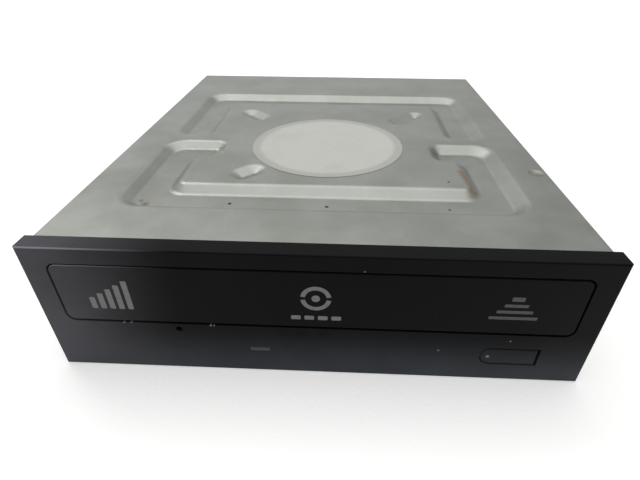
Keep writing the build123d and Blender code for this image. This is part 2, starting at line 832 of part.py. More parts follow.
# Tray
with BuildPart() as tray:
    block((-tray_half_width, tray_half_width), (tray_front, tray_back), (tray_deck_low, tray_top))
    for x in (-1, 1):
        skirt = sorted((x * (tray_half_width - tray_skin), x * tray_half_width))
        block(skirt, (tray_front, tray_back), (tray_low, tray_top))
        rim = sorted((x * tray_half_width, x * tray_flange))
        block(rim, (tray_front, tray_back), (tray_low, tray_flange_top))
        lug = sorted((x * (door_peg_x - door_peg_half), x * (door_peg_x + door_peg_half)))
        block(lug, (front_y + door_thick, tray_front), (tray_low, tray_top))
    block((-tray_flange, tray_flange), (tray_front, tray_front + tray_skin), (tray_low, tray_top))
    with BuildSketch(Plane.XY.offset(disc_floor - tray_skin)) as bowl:
        with Locations((0, spindle_y)):
            Circle(disc_recess_radius + tray_skin)
        with Locations((0, (tray_front + tray_back) / 2)):
            Rectangle(2 * tray_half_width, tray_back - tray_front, mode=Mode.INTERSECT)
    extrude(amount=tray_deck_low - disc_floor + tray_skin)
    post(0, spindle_y, (small_disc_floor - tray_skin, disc_floor), small_disc_radius + tray_skin)
    # toothed rack along the left underside
    rack_step = pi * rack_module
    tooth_lean = tan(pressure_angle)
    rack_start = drive_y + rack_step / 2
    rack_front = rack_start - 2 * rack_step
    rack_count = int((tray_back - rack_end_gap - rack_start) / rack_step)
    with BuildSketch(Plane.XY.offset(rack_low)) as rack:
        root_x = rack_pitch_x - root_depth * rack_module
        tip_x = rack_pitch_x + rack_module
        root_half = rack_step / 4 - mesh_slack / 2 + root_depth * rack_module * tooth_lean
        tip_half = rack_step / 4 - mesh_slack / 2 - rack_module * tooth_lean
        with Locations(((root_x + rack_back_x) / 2, (rack_front + tray_back) / 2)):
            Rectangle(root_x - rack_back_x + rack_overlap, tray_back - rack_front)
        for number in range(-2, rack_count + 1):
            y = rack_start + number * rack_step
            with BuildLine():
                Polyline((root_x, y - root_half), (tip_x, y - tip_half), (tip_x, y + tip_half),
                         (root_x, y + root_half), close=True)
            make_face()
    extrude(amount=tray_deck_low - rack_low)
    post(0, spindle_y, (disc_floor, tray_top + past), disc_recess_radius, mode=Mode.SUBTRACT)
    post(0, spindle_y, (small_disc_floor, tray_top + past), small_disc_radius, mode=Mode.SUBTRACT)
    # way for the turntable and the lens, open at the back
    post(0, spindle_y, (rack_low, tray_top + past), slot_half_width, mode=Mode.SUBTRACT)
    block((-slot_half_width, slot_half_width), (spindle_y, tray_back + past), (rack_low, tray_top + past),
          mode=Mode.SUBTRACT)
    # small tabs that hold a disc when the drive stands on its side
    with Locations((0, spindle_y, tray_top - disc_tab_size[2] / 2)):
        with PolarLocations(disc_recess_radius, 4, start_angle=45):
            Box(*disc_tab_size)
save(tray, "tray")

# Front board with its switch and lamp
with BuildPart() as front_board:
    heights = (front_board_low, front_board_top)
    block((front_board_left, front_board_right), (front_board_front, front_board_back), heights)
    for x in (front_board_left + front_board_inset, front_board_right - front_board_inset):
        post(x, front_board_back - front_board_inset, heights, front_board_hole, mode=Mode.SUBTRACT)
save(front_board, "front_board")

with BuildPart() as eject_switch:
    block(button_stem, (switch_tip + switch_body[0], switch_tip + switch_body[1]),
          (front_board_top, switch_top))
    rod_along_y(sum(button_stem) / 2, (switch_tip, switch_tip + switch_pin), sum(button_heights) / 2,
                switch_pin)
save(eject_switch, "eject_switch")

with BuildPart() as indicator_lamp:
    block((window_x - lamp_half[0], window_x + lamp_half[0]), (lamp_y - lamp_half[1], lamp_y + lamp_half[1]),
          (front_board_top, front_board_top + lamp_base))
    post(window_x, lamp_y, (front_board_top + lamp_base, front_board_top + lamp_height), lamp_dome)
save(indicator_lamp, "indicator_lamp")

# Tray drive: motor, belt and three toothed or grooved wheels
with BuildPart() as loading_motor:
    post(motor_x, motor_y, (front_board_top, deck_low), motor_radius)
    fillet(loading_motor.edges().group_by(Axis.Z)[-1], motor_can_edge)
    post(motor_x, motor_y, (deck_low - fit_gap, deck_low + motor_boss_height), motor_boss)
    post(motor_x, motor_y, (deck_low, pulley_high - running_gap), motor_shaft)
save(loading_motor, "loading_motor")

groove_mid = (pulley_low + pulley_high) / 2


def grooved(x, y, radius):
    # a rim with a groove as deep as the belt
    groove_half = belt_size / 2 + fit_gap
    post(x, y, (pulley_low, pulley_high), radius + belt_size * groove_share)
    post(x, y, (groove_mid - groove_half, groove_mid + groove_half), radius + belt_size, mode=Mode.SUBTRACT)
    post(x, y, (pulley_low, pulley_high), radius)


with BuildPart() as motor_pulley:
    grooved(motor_x, motor_y, motor_pulley_radius)
    post(motor_x, motor_y, (pulley_low - past, pulley_high + past), motor_shaft + shaft_gap,
         mode=Mode.SUBTRACT)
save(motor_pulley, "motor_pulley")

with BuildPart() as drive_belt:
    reach_x = motor_x - pulley_x
    reach_y = motor_y - pulley_y
    centres = (reach_x**2 + reach_y**2) ** 0.5
    bearing = degrees(atan(reach_y / reach_x))
    spread = degrees(acos((pulley_radius - motor_pulley_radius) / centres))
    with BuildSketch(Plane.XY.offset(groove_mid - belt_size / 2)) as belt_outline:
        for extra, mode in ((belt_size + belt_gap, Mode.ADD), (belt_gap, Mode.SUBTRACT)):
            big = pulley_radius + extra
            small = motor_pulley_radius + extra
            ends = []
            for angle in (bearing + spread, bearing - spread):
                way = Vector(cos(radians(angle)), sin(radians(angle)))
                ends.append((Vector(pulley_x, pulley_y) + way * big, Vector(motor_x, motor_y) + way * small))
            far = Vector(pulley_x - big * cos(radians(bearing)), pulley_y - big * sin(radians(bearing)))
            near = Vector(motor_x + small * cos(radians(bearing)), motor_y + small * sin(radians(bearing)))
            with BuildLine() as belt_line:
                Line(ends[0][0], ends[0][1])
                ThreePointArc(ends[0][1], near, ends[1][1])
                Line(ends[1][1], ends[1][0])
                ThreePointArc(ends[1][0], far, ends[0][0])
            make_face(mode=mode)
    extrude(amount=belt_size)
save(drive_belt, "drive_belt")


def toothed_face(teeth, module, turn):
    # involute flanks, thinned by the mesh slack
    pitch = module * teeth / 2
    base = pitch * cos(pressure_angle)
    root = pitch - root_depth * module
    tip = pitch + module
    start = max(base, root)
    half = pi / (2 * teeth) - mesh_slack / (4 * pitch) + tan(pressure_angle) - pressure_angle
    flank = []
    for step in range(flank_steps + 1):
        radius = start + (tip - start) * step / flank_steps
        roll = acos(min(1.0, base / radius))
        flank.append((radius, half - tan(roll) + roll))
    flank.insert(0, (root - tooth_foot, flank[0][1]))
    points = [(r * cos(a), r * sin(a)) for r, a in flank]
    mirrored = [(x, -y) for x, y in reversed(points)]
    with BuildSketch() as face:
        Circle(root)
        with PolarLocations(0, teeth, start_angle=turn):
            with BuildLine():
                Polyline(*points, *mirrored, close=True)
            make_face()
    return face.sketch


def toothed_wheel(x, y, z, teeth, module, turn):
    face = toothed_face(teeth, module, turn)
    extrude(face.moved(Location((x, y, z[0]))), amount=z[1] - z[0])


with BuildPart() as pulley_gear:
    grooved(pulley_x, pulley_y, pulley_radius)
    toothed_wheel(pulley_x, pulley_y, (pulley_high, wheel_high + small_gear_rise), small_teeth, wheel_module,
                  mesh_angle + 180 + 180 / small_teeth)
    post(pulley_x, pulley_y, (pulley_low - past, wheel_high + 2 * past), small_post_radius + shaft_gap,
         mode=Mode.SUBTRACT)
save(pulley_gear, "pulley_gear")

with BuildPart() as drive_gear:
    post(drive_x, drive_y, (pulley_low, wheel_low), drive_hub)
    toothed_wheel(drive_x, drive_y, (wheel_low, wheel_high), wheel_teeth, wheel_module, mesh_angle)
    toothed_wheel(drive_x, drive_y, (wheel_high, gear_top), pinion_teeth, rack_module, 180)
    post(drive_x, drive_y, (pulley_low - past, gear_top + past), post_radius + shaft_gap, mode=Mode.SUBTRACT)
save(drive_gear, "drive_gear")

# Cam slider with two sloping slots for the pins of the traverse
with BuildPart() as cam_slider:
    slider_left = -cam_pin_x - cam_travel - cam_end
    slider_right = cam_pin_x + cam_end
    slot_half = cam_pin_radius + cam_slack
    block((slider_left, slider_right), (cam_front, cam_front + cam_thick),
          (cam_pin_z - cam_drop - slot_half - cam_border, cam_pin_z + slot_half + cam_border))
    foot_low = deck_top + running_gap
    block((guide_left - slider_foot_reach, slider_right), (slider_foot_front, cam_front + slider_foot_lap),
          (foot_low, foot_low + slider_foot_thick))
    for pin_x in (-cam_pin_x, cam_pin_x):
        with BuildSketch(Plane.XZ.offset(-cam_front - cam_thick - past)) as cam_slot:
            with Locations((pin_x - cam_travel / 2, cam_pin_z - cam_drop / 2)):
                SlotCenterToCenter((cam_travel**2 + cam_drop**2) ** 0.5, 2 * slot_half,
                                   rotation=degrees(atan(cam_drop / cam_travel)))
        extrude(amount=cam_thick + 2 * past, mode=Mode.SUBTRACT)
save(cam_slider, "cam_slider")

# Traverse with its rods, spindle motor and sled drive
with BuildPart() as traverse_frame:
    skirt = trav_skin
    heights = (trav_low, trav_top)
    block((-trav_half_width, trav_half_width), (trav_front, trav_back), heights)
    block((skirt - trav_half_width, trav_half_width - skirt), (trav_front + skirt, trav_back - skirt),
          (trav_low, trav_top - skirt), mode=Mode.SUBTRACT)
    block((bay_left - skirt, bay_right + skirt), (bay_front - skirt, bay_back + skirt), heights)
    block((bay_left, bay_right), (bay_front, bay_back), heights, mode=Mode.SUBTRACT)
    for x, y in spindle_screws:
        post(x, y, (plate_top, trav_top), screw_boss_radius)
    post(0, spindle_y, heights, table_radius + table_play, mode=Mode.SUBTRACT)
    for x in (-rod_x, rod_x):
        rod_along_y(x, (bay_front - skirt, bay_back + skirt), rod_z, rod_radius, mode=Mode.SUBTRACT)
    rod_along_y(screw_x, (bay_front - skirt, bay_front), rod_z, lead_end_radius + shaft_gap,
                mode=Mode.SUBTRACT)
    for x in (-1, 1):
        pin = sorted((x * (trav_half_width - past), x * (rail_inner + bush_length - pivot_end_gap)))
        rod_along_x(pin, pivot_y, pivot_z, pivot_radius)
    for x in (-cam_pin_x, cam_pin_x):
        rod_along_y(x, (cam_front - running_gap, trav_front + past), cam_pin_z, cam_pin_radius)
save(traverse_frame, "traverse_frame")

for side, name in ((-1, "guide_rod_left"), (1, "guide_rod_right")):
    with BuildPart() as guide_rod:
        rod_along_y(side * rod_x, (bay_front - trav_skin, bay_back + trav_skin), rod_z, rod_radius)
    save(guide_rod, name)

with BuildPart() as spindle_plate:
    block((-plate_half_width, plate_half_width),
          (spindle_y - plate_half_depth, bay_front - trav_skin - running_gap), (plate_low, plate_top))
    for x, y in spindle_screws:
        post(x, y, (plate_low, plate_top), spindle_screw_radius, mode=Mode.SUBTRACT)
save(spindle_plate, "spindle_plate")

with BuildPart() as spindle_stator:
    post(0, spindle_y, (plate_top, rotor_top - stator_head_room), stator_hub)
    for arm in range(stator_arms):
        with Locations(Location((0, spindle_y, stator_mid), (0, 0, arm * 360 / stator_arms))):
            for centre, size in stator_shapes:
                with Locations((centre, 0, 0)):
                    Box(*size)
    post(0, spindle_y, (plate_top + bore_foot, rotor_top), shaft_radius + shaft_gap, mode=Mode.SUBTRACT)
save(spindle_stator, "spindle_stator")

with BuildPart() as spindle_rotor:
    post(0, spindle_y, (rotor_low, rotor_top), rotor_radius)
    post(0, spindle_y, (rotor_low, rotor_top - rotor_roof), rotor_radius - rotor_wall, mode=Mode.SUBTRACT)
    post(0, spindle_y, (plate_top + bore_foot + running_gap, table_top - shaft_cover), shaft_radius)
save(spindle_rotor, "spindle_rotor")

with BuildPart() as turntable:
    post(0, spindle_y, (rotor_top, table_top - table_thick), table_stem)
    post(0, spindle_y, (table_top - table_thick, table_top), table_radius)
    post(0, spindle_y, (table_top, nose_top), nose_radius)
    chamfer(turntable.edges().group_by(Axis.Z)[-1], nose_chamfer)
    post(0, spindle_y, (table_top - table_recess, nose_top), magnet_radius, mode=Mode.SUBTRACT)
    post(0, spindle_y, (rotor_top, table_top - shaft_cover), shaft_radius, mode=Mode.SUBTRACT)
save(turntable, "turntable")

with BuildPart() as turntable_pad:
    pad_outer = table_radius - running_gap
    post(0, spindle_y, (table_top, table_top + pad_thick), pad_outer)
    post(0, spindle_y, (table_top, table_top + pad_thick), pad_outer - pad_width, mode=Mode.SUBTRACT)
save(turntable_pad, "turntable_pad")

with BuildPart() as centring_magnet:
    post(0, spindle_y, (table_top - table_recess, nose_top - magnet_sink), magnet_radius)
    post(0, spindle_y, (table_top - table_recess, nose_top), magnet_hole, mode=Mode.SUBTRACT)
save(centring_magnet, "centring_magnet")

with BuildPart() as sled_motor:
    rod_along_y(screw_x, (sled_motor_front, bay_back), rod_z, sled_motor_radius)
    rod_along_y(screw_x, (sled_motor_front - sled_boss[1], sled_motor_front), rod_z, sled_boss[0])
    rod_along_y(screw_x, (sled_motor_front - past, sled_motor_front + lead_seat + past), rod_z,
                lead_end_radius + shaft_gap, mode=Mode.SUBTRACT)
save(sled_motor, "sled_motor")

with BuildPart() as lead_screw:
    lead_front = bay_front + lead_end_gap[0]
    lead_back = sled_motor_front - lead_end_gap[1]
    rod_along_y(screw_x, (lead_front, lead_back), rod_z, lead_radius)
    rod_along_y(screw_x, (bay_front - trav_skin + pivot_end_gap, lead_front), rod_z, lead_end_radius)
    rod_along_y(screw_x, (lead_back, sled_motor_front + lead_seat), rod_z, lead_end_radius)
save(lead_screw, "lead_screw")

# Pickup that runs on the rods
lens_well = (holder_half_width + holder_gap, holder_half_depth + holder_gap)
with BuildPart() as pickup_body:
    runner_heights = (rod_z - runner_half, rod_z + runner_half)
    block((-pickup_half_width, pickup_half_width), (pickup_front, pickup_back), (pickup_low, pickup_top))
    for y in (pickup_front, pickup_back - runner_length):
        block((-rod_x - runner_out[0], -pickup_half_width), (y, y + runner_length), runner_heights)
    block((pickup_half_width, rod_x + runner_out[1]), (pickup_back - runner_length, pickup_back),
          runner_heights)
    rod_along_y(-rod_x, (pickup_front, pickup_back), rod_z, rod_radius + shaft_gap, mode=Mode.SUBTRACT)
    # the right runner is a fork, open to the side
    block((rod_x - rod_radius - fork_play, rod_x + runner_out[0]), (pickup_front, pickup_back),
          (rod_z - rod_radius - shaft_gap, rod_z + rod_radius + shaft_gap), mode=Mode.SUBTRACT)
    block((-lens_well[0], lens_well[0]), (lens_y - lens_well[1], lens_y + lens_well[1]),
          (holder_low - past, pickup_top), mode=Mode.SUBTRACT)
save(pickup_body, "pickup_body")

with BuildPart() as pickup_cover:
    heights = (pickup_top, pickup_top + pickup_lid)
    block((-pickup_half_width, pickup_half_width), (pickup_front, pickup_back), heights)
    block((-lens_well[0], lens_well[0]), (lens_y - lens_well[1], lens_y + lens_well[1]), heights,
          mode=Mode.SUBTRACT)
    fillet(pickup_cover.edges().filter_by(Axis.Z).group_by(Axis.Y)[-1], pickup_lid_corner)
save(pickup_cover, "pickup_cover")

with BuildPart() as lens_holder:
    block((-holder_half_width, holder_half_width), (lens_y - holder_half_depth, lens_y + holder_half_depth),
          (holder_low, pickup_top))
    post(0, lens_y, (pickup_top, holder_top), holder_neck)
    post(0, lens_y, (lens_low, holder_top + past), lens_radius, mode=Mode.SUBTRACT)
    post(0, lens_y, (holder_low, lens_low), lens_radius - lens_rim, mode=Mode.SUBTRACT)
save(lens_holder, "lens_holder")

with BuildPart() as objective_lens:
    post(0, lens_y, (lens_low, holder_top), lens_radius)
    dome = lens_top - holder_top
    dome_radius = (lens_radius**2 + dome**2) / (2 * dome)
    with BuildSketch(Plane.XZ.offset(-lens_y)) as dome_half:
        with Locations((0, lens_top - dome_radius)):
            Circle(dome_radius)
        with Locations((lens_radius, (holder_top + lens_top) / 2)):
            Rectangle(2 * lens_radius, lens_top - holder_top, mode=Mode.INTERSECT)
    revolve(axis=Axis((0, lens_y, 0), (0, 0, 1)))
save(objective_lens, "objective_lens")

with BuildPart() as feed_nut:
    nut_span = (nut_front, nut_front + nut_length)
    block((pickup_half_width, screw_x + nut_half), nut_span, (pickup_low, rod_z - rod_radius - running_gap))
    block((screw_x - nut_half, screw_x + nut_half), nut_span, (pickup_low, rod_z + nut_rise))
    rod_along_y(screw_x, nut_span, rod_z, lead_radius + shaft_gap, mode=Mode.SUBTRACT)
save(feed_nut, "feed_nut")

# Main board and what stands on it
with BuildPart() as main_board:
    heights = (main_board_low, main_board_top)
    block((-main_board_half_width, main_board_half_width), (main_board_front, main_board_back), heights)
    for x in (-board_leg_x, board_leg_x):
        post(x, board_screw_y, heights, board_screw_radius + fit_gap, mode=Mode.SUBTRACT)
save(main_board, "main_board")

with BuildPart() as board_screws:
    for x in (-board_leg_x, board_leg_x):
        post(x, board_screw_y, (main_board_low, main_board_top), board_screw_radius)
        post(x, board_screw_y, (main_board_low - board_screw_head[1], main_board_low), board_screw_head[0])
save(board_screws, "board_screws")

for name, spot, size in chips:
    with BuildPart() as chip:
        block((spot[0] - size[0] / 2, spot[0] + size[0] / 2), (spot[1] - size[1] / 2, spot[1] + size[1] / 2),
              (main_board_top + fit_gap, main_board_top + size[2]))
        # a row of legs along each side
        for turn, across in ((0, 1), (180, 1), (90, 0), (270, 0)):
            count = int((size[across] - 2 * chip_leg_pitch) / chip_leg_pitch)
            with Locations(Location((spot[0], spot[1], main_board_top + chip_leg[1] / 2), (0, 0, turn))):
                with Locations((size[1 - across] / 2 + chip_leg_out, 0, 0)):
                    with GridLocations(chip_leg_pitch, chip_leg_pitch, 1, count):
                        Box(chip_leg[0], chip_leg_pitch / 2, chip_leg[1])
    save(chip, name)

with BuildPart() as capacitors:
    for x, y in capacitor_spots:
        post(x, y, (main_board_top, main_board_top + capacitor_height), capacitor_radius)
    fillet(capacitors.edges().group_by(Axis.Z)[-1], capacitor_edge)
save(capacitors, "capacitors")


def cable_socket(x, front, floor, opens_back):
    # a low housing with a slot for the end of a flat cable
    block((x[0] - socket_end, x[1] + socket_end), (front, front + socket_depth),
          (floor, floor + socket_height))
    slot = (front - past, front + socket_slot_depth)
    if opens_back:
        slot = (front + socket_depth - socket_slot_depth, front + socket_depth + past)
    block(x, slot, (floor + socket_slot[0], floor + socket_slot[1]), mode=Mode.SUBTRACT)


with BuildPart() as cable_sockets:
    cable_socket((socket_end - socket_half, socket_half - socket_end), socket_front, main_board_top, False)
    cable_socket(front_cable_x, socket_front, main_board_top, False)
save(cable_sockets, "cable_sockets")

with BuildPart() as front_socket:
    cable_socket(front_cable_x, front_board_back - socket_depth - socket_end, front_board_top, True)
save(front_socket, "front_socket")

with BuildPart() as rear_connector:
    block((plug_left, plug_right), (plug_front, back_y), (main_board_top, plug_top))
    for span in plug_wells:
        well = (back_y - plug_depth, back_y + past)
        block(span, well, (main_board_top + plug_wall, plug_top - plug_wall), mode=Mode.SUBTRACT)
        # the tongue that carries the contacts, with its key at one end
        tongue = (back_y - plug_depth - past, back_y - plug_tongue_back)
        tongue_low = plug_mid - plug_tongue_thick
        block((span[0] + plug_tongue, span[1] - plug_tongue), tongue, (tongue_low, plug_mid))
        block((span[0] + plug_tongue, span[0] + plug_tongue + plug_key[0]), tongue,
              (tongue_low, plug_mid + plug_key[1]))
save(rear_connector, "rear_connector")

with BuildPart() as connector_contacts:
    for span, count in zip(plug_wells, contact_counts):
        for number in range(count):
            x = span[0] + contact_first + number * contact_pitch
            block((x - contact_size[0] / 2, x + contact_size[0] / 2),
                  (back_y - plug_depth, back_y - 2 * plug_tongue_back),
                  (plug_mid, plug_mid + contact_size[1]))
save(connector_contacts, "connector_contacts")


# Flat cables: a thin strip along a bent centre line, seen from the side
def strip(points, bends, x):
    with BuildSketch(Plane.YZ.offset(x[0])) as side:
        with BuildLine():
            FilletPolyline(*points, radius=bends)
        trace(line_width=cable_thick)
    extrude(side.sketch, amount=x[1] - x[0])


slot_z = main_board_top + sum(socket_slot) / 2
slot_end = socket_front + socket_slot_depth - cable_thick
with BuildPart() as pickup_cable:
    high = pickup_low - cable_thick
    low = slot_z + pickup_cable_lift
    turn_y = socket_front + pickup_cable_turn
    loop_y = socket_front - pickup_cable_loop
    strip([(pickup_front + pickup_cable_lap, high), (turn_y, high), (turn_y, low), (loop_y, low),
           (loop_y, slot_z), (slot_end, slot_z)], cable_bend, (-cable_half, cable_half))
save(pickup_cable, "pickup_cable")

with BuildPart() as front_cable:
    entry = front_board_top + sum(socket_slot) / 2
    entry_end = front_board_back - socket_end - socket_slot_depth + cable_thick
    down_y = front_board_back + front_cable_down
    up_y = main_board_front - front_cable_up
    strip([(entry_end, entry), (down_y, entry), (down_y, cable_run_z), (up_y, cable_run_z), (up_y, slot_z),
           (slot_end, slot_z)], cable_bend, front_cable_x)
save(front_cable, "front_cable")
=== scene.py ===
import functools
import math

import bmesh
import bpy
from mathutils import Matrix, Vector


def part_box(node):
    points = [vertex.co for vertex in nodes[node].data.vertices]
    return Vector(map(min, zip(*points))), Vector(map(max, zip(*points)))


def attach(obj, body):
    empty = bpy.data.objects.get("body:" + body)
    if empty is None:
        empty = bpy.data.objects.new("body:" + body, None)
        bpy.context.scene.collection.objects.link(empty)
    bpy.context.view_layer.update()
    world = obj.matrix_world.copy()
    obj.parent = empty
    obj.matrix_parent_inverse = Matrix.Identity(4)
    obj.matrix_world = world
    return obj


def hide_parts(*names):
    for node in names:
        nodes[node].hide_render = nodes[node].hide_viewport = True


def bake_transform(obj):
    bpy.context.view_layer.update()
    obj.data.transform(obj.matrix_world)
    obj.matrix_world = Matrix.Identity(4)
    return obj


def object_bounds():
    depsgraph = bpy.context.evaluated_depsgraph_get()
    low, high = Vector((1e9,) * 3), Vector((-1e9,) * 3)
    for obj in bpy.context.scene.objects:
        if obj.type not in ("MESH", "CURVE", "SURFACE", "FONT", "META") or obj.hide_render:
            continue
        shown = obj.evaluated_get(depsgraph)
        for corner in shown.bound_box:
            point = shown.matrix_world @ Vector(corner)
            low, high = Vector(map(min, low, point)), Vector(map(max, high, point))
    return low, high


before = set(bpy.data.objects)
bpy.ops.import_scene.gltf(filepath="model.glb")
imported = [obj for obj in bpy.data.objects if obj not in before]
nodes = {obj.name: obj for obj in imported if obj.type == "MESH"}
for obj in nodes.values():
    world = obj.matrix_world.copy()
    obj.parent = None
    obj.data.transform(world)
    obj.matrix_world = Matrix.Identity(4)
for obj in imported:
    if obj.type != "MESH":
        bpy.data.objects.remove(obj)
cadLow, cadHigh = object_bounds()
mm = 0.001
print("frame loaded:", len(nodes), "nodes")

# landmarks read from the frame
screwLow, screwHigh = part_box("lead_screw")
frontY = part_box("bezel")[0].y

smoothBelow = math.radians(32)  # edges that turn less than this are shaded smooth


def smoothMesh(mesh):
    mesh.shade_smooth()
    mesh.set_sharp_from_angle(angle=smoothBelow)


# colours, nodes and patterns

def hexColor(code):
    # sRGB hex to the linear values that the shaders take
    parts = [int(code[i:i + 2], 16) / 255 for i in (1, 3, 5)]
    return (*[p / 12.92 if p <= 0.04045 else ((p + 0.055) / 1.055) ** 2.4 for p in parts], 1.0)


def addNode(tree, kind, inputs=None, output=0, **settings):
    # inputs go by name, or by number where a node has several of one name, and are values, hex
    # colours or other nodes' outputs; settings are the node's own options
    node = tree.nodes.new("ShaderNode" + kind)
    for key, value in settings.items():
        setattr(node, key, value)
    for key, value in (inputs or {}).items():
        if isinstance(value, bpy.types.NodeSocket):
            tree.links.new(value, node.inputs[key])
        elif isinstance(value, str):
            node.inputs[key].default_value = hexColor(value)
        else:
            node.inputs[key].default_value = value
    return node.outputs[output] if node.outputs else None


def newMaterial(name):
    # gives the material, its own way to add a node, and the place on the object in metres
    material = bpy.data.materials.new(name)
    material.use_nodes = True
    material.node_tree.nodes.clear()
    add = functools.partial(addNode, material.node_tree)
    return material, add, add("TexCoord", output="Object")


def finishMaterial(add, inputs):
    add("OutputMaterial", {"Surface": add("BsdfPrincipled", inputs)})


def blotches(add, place, size, low=0.3, high=0.7, least=0.0, most=1.0, detail=3.0, stretch=(1, 1, 1)):
    # soft noise with blotches size millimetres wide, longer along an axis whose stretch is below 1;
    # it reads least under the level low and most above the level high
    moved = add("Mapping", {"Vector": place, "Scale": stretch})
    noise = add("TexNoise", {"Vector": moved, "Scale": 1 / (size * mm), "Detail": detail, "Roughness": 0.6})
    return add("MapRange", {0: noise, 1: low, 2: high, 3: least, 4: most}, interpolation_type="SMOOTHSTEP")


def tint(add, under, mask, color, strength=1.0):
    # lays a colour over another where the mask is, at most at the given strength
    part = add("Math", {0: mask, 1: strength}, operation="MULTIPLY")
    return add("Mix", {0: part, 6: under, 7: color}, output=2, data_type="RGBA")


def roundSpots(add, place, spots, upright=False):
    # spots on the top, of x, y, radius and soft edge in millimetres; on an upright face z is in y's place
    flat = add("VectorMath", {0: place, 1: (1, 0, 1) if upright else (1, 1, 0)}, operation="MULTIPLY")
    seen = 0.0
    for x, far, radius, edge in spots:
        point = (x * mm, 0, far * mm) if upright else (x * mm, far * mm, 0)
        gap = add("VectorMath", {0: flat, 1: point}, output="Value", operation="DISTANCE")
        spot = add("MapRange", {0: gap, 1: radius * mm, 2: (radius + edge) * mm, 3: 1.0, 4: 0.0},
                   interpolation_type="SMOOTHSTEP")
        seen = add("Math", {0: spot, 1: seen}, operation="MAXIMUM")
    return seen


# materials

galvanised = {
    "plain": "#9a9d97",
    "pale": "#a1a49e",
    "dull": "#93968f",
    "grime": "#7a7466",
    "rust": "#6a5238",
    "speck": "#2d2b28",
    "mottleSize": 16.0,
    "crystalSize": 1.6,
    "rolledSize": 0.35,  # real rolling lines are finer than this
    "rustSpots": [
        (-52.5, -57.5, 0.5, 1.5), (-54.5, -55.5, 0.2, 1.0), (44.8, -36.0, 0.6, 1.9), (45.2, -38.2, 0.7, 2.0),
        (45.5, -40.4, 0.7, 2.0), (45.8, -42.6, 0.7, 2.0), (46.1, -44.8, 0.8, 2.0), (46.3, -47.0, 0.8, 2.0),
        (69.6, -36.6, 0.9, 1.0), (67.2, -36.6, 0.1, 0.9),
    ],
    "specks": [
        (-27.5, -56.0, 0.3, 0.5), (1.5, -56.5, 0.3, 0.5), (37.5, -56.5, 0.2, 0.4), (39.3, -43.3, 0.2, 0.4),
    ],
    "stains": [
        (-10.0, -74.0, 5.0, 9.0), (48.0, -68.0, 4.0, 7.0), (63.5, -62.0, 6.0, 9.0), (40.0, -39.0, 6.0, 9.0),
    ],
}


def galvanisedSheet():
    # rolled steel sheet with a hot-dip zinc coat: satin grey, cloudy zinc crystals, faint rolling
    # lines from front to back, handling grime that dulls the gloss, rust where the zinc has gone
    look = galvanised
    material, add, place = newMaterial("galvanisedSheet")
    mottle = blotches(add, place, look["mottleSize"], detail=4.0)
    crystal = add("TexVoronoi", {"Vector": place, "Scale": 1 / (look["crystalSize"] * mm)}, output="Color")
    crystal = add("SeparateColor", {0: crystal})
    rolled = blotches(add, place, look["rolledSize"], low=0.25, high=0.85, stretch=(1, 0.02, 1))
    color = add("Mix", {0: mottle, 6: look["dull"], 7: look["pale"]}, output=2, data_type="RGBA")
    color = tint(add, color, crystal, look["plain"], 0.2)
    color = tint(add, color, rolled, look["dull"], 0.25)
    handled = blotches(add, place, 26.0, low=0.55, high=0.85, most=0.5, detail=5.0)
    smudge = blotches(add, place, 8.0, high=0.8, most=0.6)
    stained = add("Math", {0: roundSpots(add, place, look["stains"]), 1: smudge}, operation="MULTIPLY")
    handled = add("Math", {0: handled, 1: stained}, operation="MAXIMUM")
    color = tint(add, color, handled, look["grime"], 0.25)
    rusted = roundSpots(add, place, look["rustSpots"])
    flaked = blotches(add, place, 0.9, high=0.6, least=0.6)
    rusted = add("Math", {0: rusted, 1: flaked}, operation="MULTIPLY")
    color = tint(add, color, rusted, look["rust"], 0.75)
    color = tint(add, color, roundSpots(add, place, look["specks"]), look["speck"])
    dulled = add("Math", {0: handled, 1: 0.12, 2: add("MapRange", {0: mottle, 3: 0.38, 4: 0.42})},
                 operation="MULTIPLY_ADD")
    rough = add("Math", {0: rusted, 1: 0.4, 2: dulled}, operation="MULTIPLY_ADD")
    bare = add("Math", {0: 1.0, 1: rusted}, operation="SUBTRACT")
    grain = add("Bump", {"Height": rolled, "Distance": 0.004 * mm})
    waves = blotches(add, place, 30.0, low=0.0, high=1.0, detail=1.0)
    waves = add("Bump", {"Height": waves, "Distance": 0.1 * mm, "Normal": grain})
    finishMaterial(add, {"Base Color": color, "Metallic": bare, "Roughness": rough, "Normal": waves})
    return material


label = {
    "paper": "#bdbeb7",
    "pale": "#c5c6bf",
    "handled": "#b1b2aa",
    # the next colour darkens the rim: painted shade along the label's edge, and dirt; the disc after it
    # bounds the plain middle
    "rimShadeAndDirt": "#a2a39b",
    "plainDisc": (0.0, -14.5, 23.5, 2.2),  # what lies inside this is cleaner than the rim
}


def labelPaper():
    # coated paper on adhesive: dead matt, near white, with fibre mottle and a few handling marks
    material, add, place = newMaterial("labelPaper")
    fibre = blotches(add, place, 0.8, detail=5.0)
    color = add("Mix", {0: fibre, 6: label["paper"], 7: label["pale"]}, output=2, data_type="RGBA")
    color = tint(add, color, blotches(add, place, 14.0, low=0.45, high=0.75), label["handled"], 0.4)
    # the rim darker: painted shade along the label's edge, and dirt
    rim = add("Math", {0: 1.0, 1: roundSpots(add, place, [label["plainDisc"]])}, operation="SUBTRACT")
    color = tint(add, color, rim, label["rimShadeAndDirt"], 0.6)
    relief = add("Bump", {"Height": fibre, "Distance": 0.02 * mm})
    finishMaterial(add, {"Base Color": color, "Roughness": 0.82, "Specular IOR Level": 0.3, "Normal": relief})
    return material


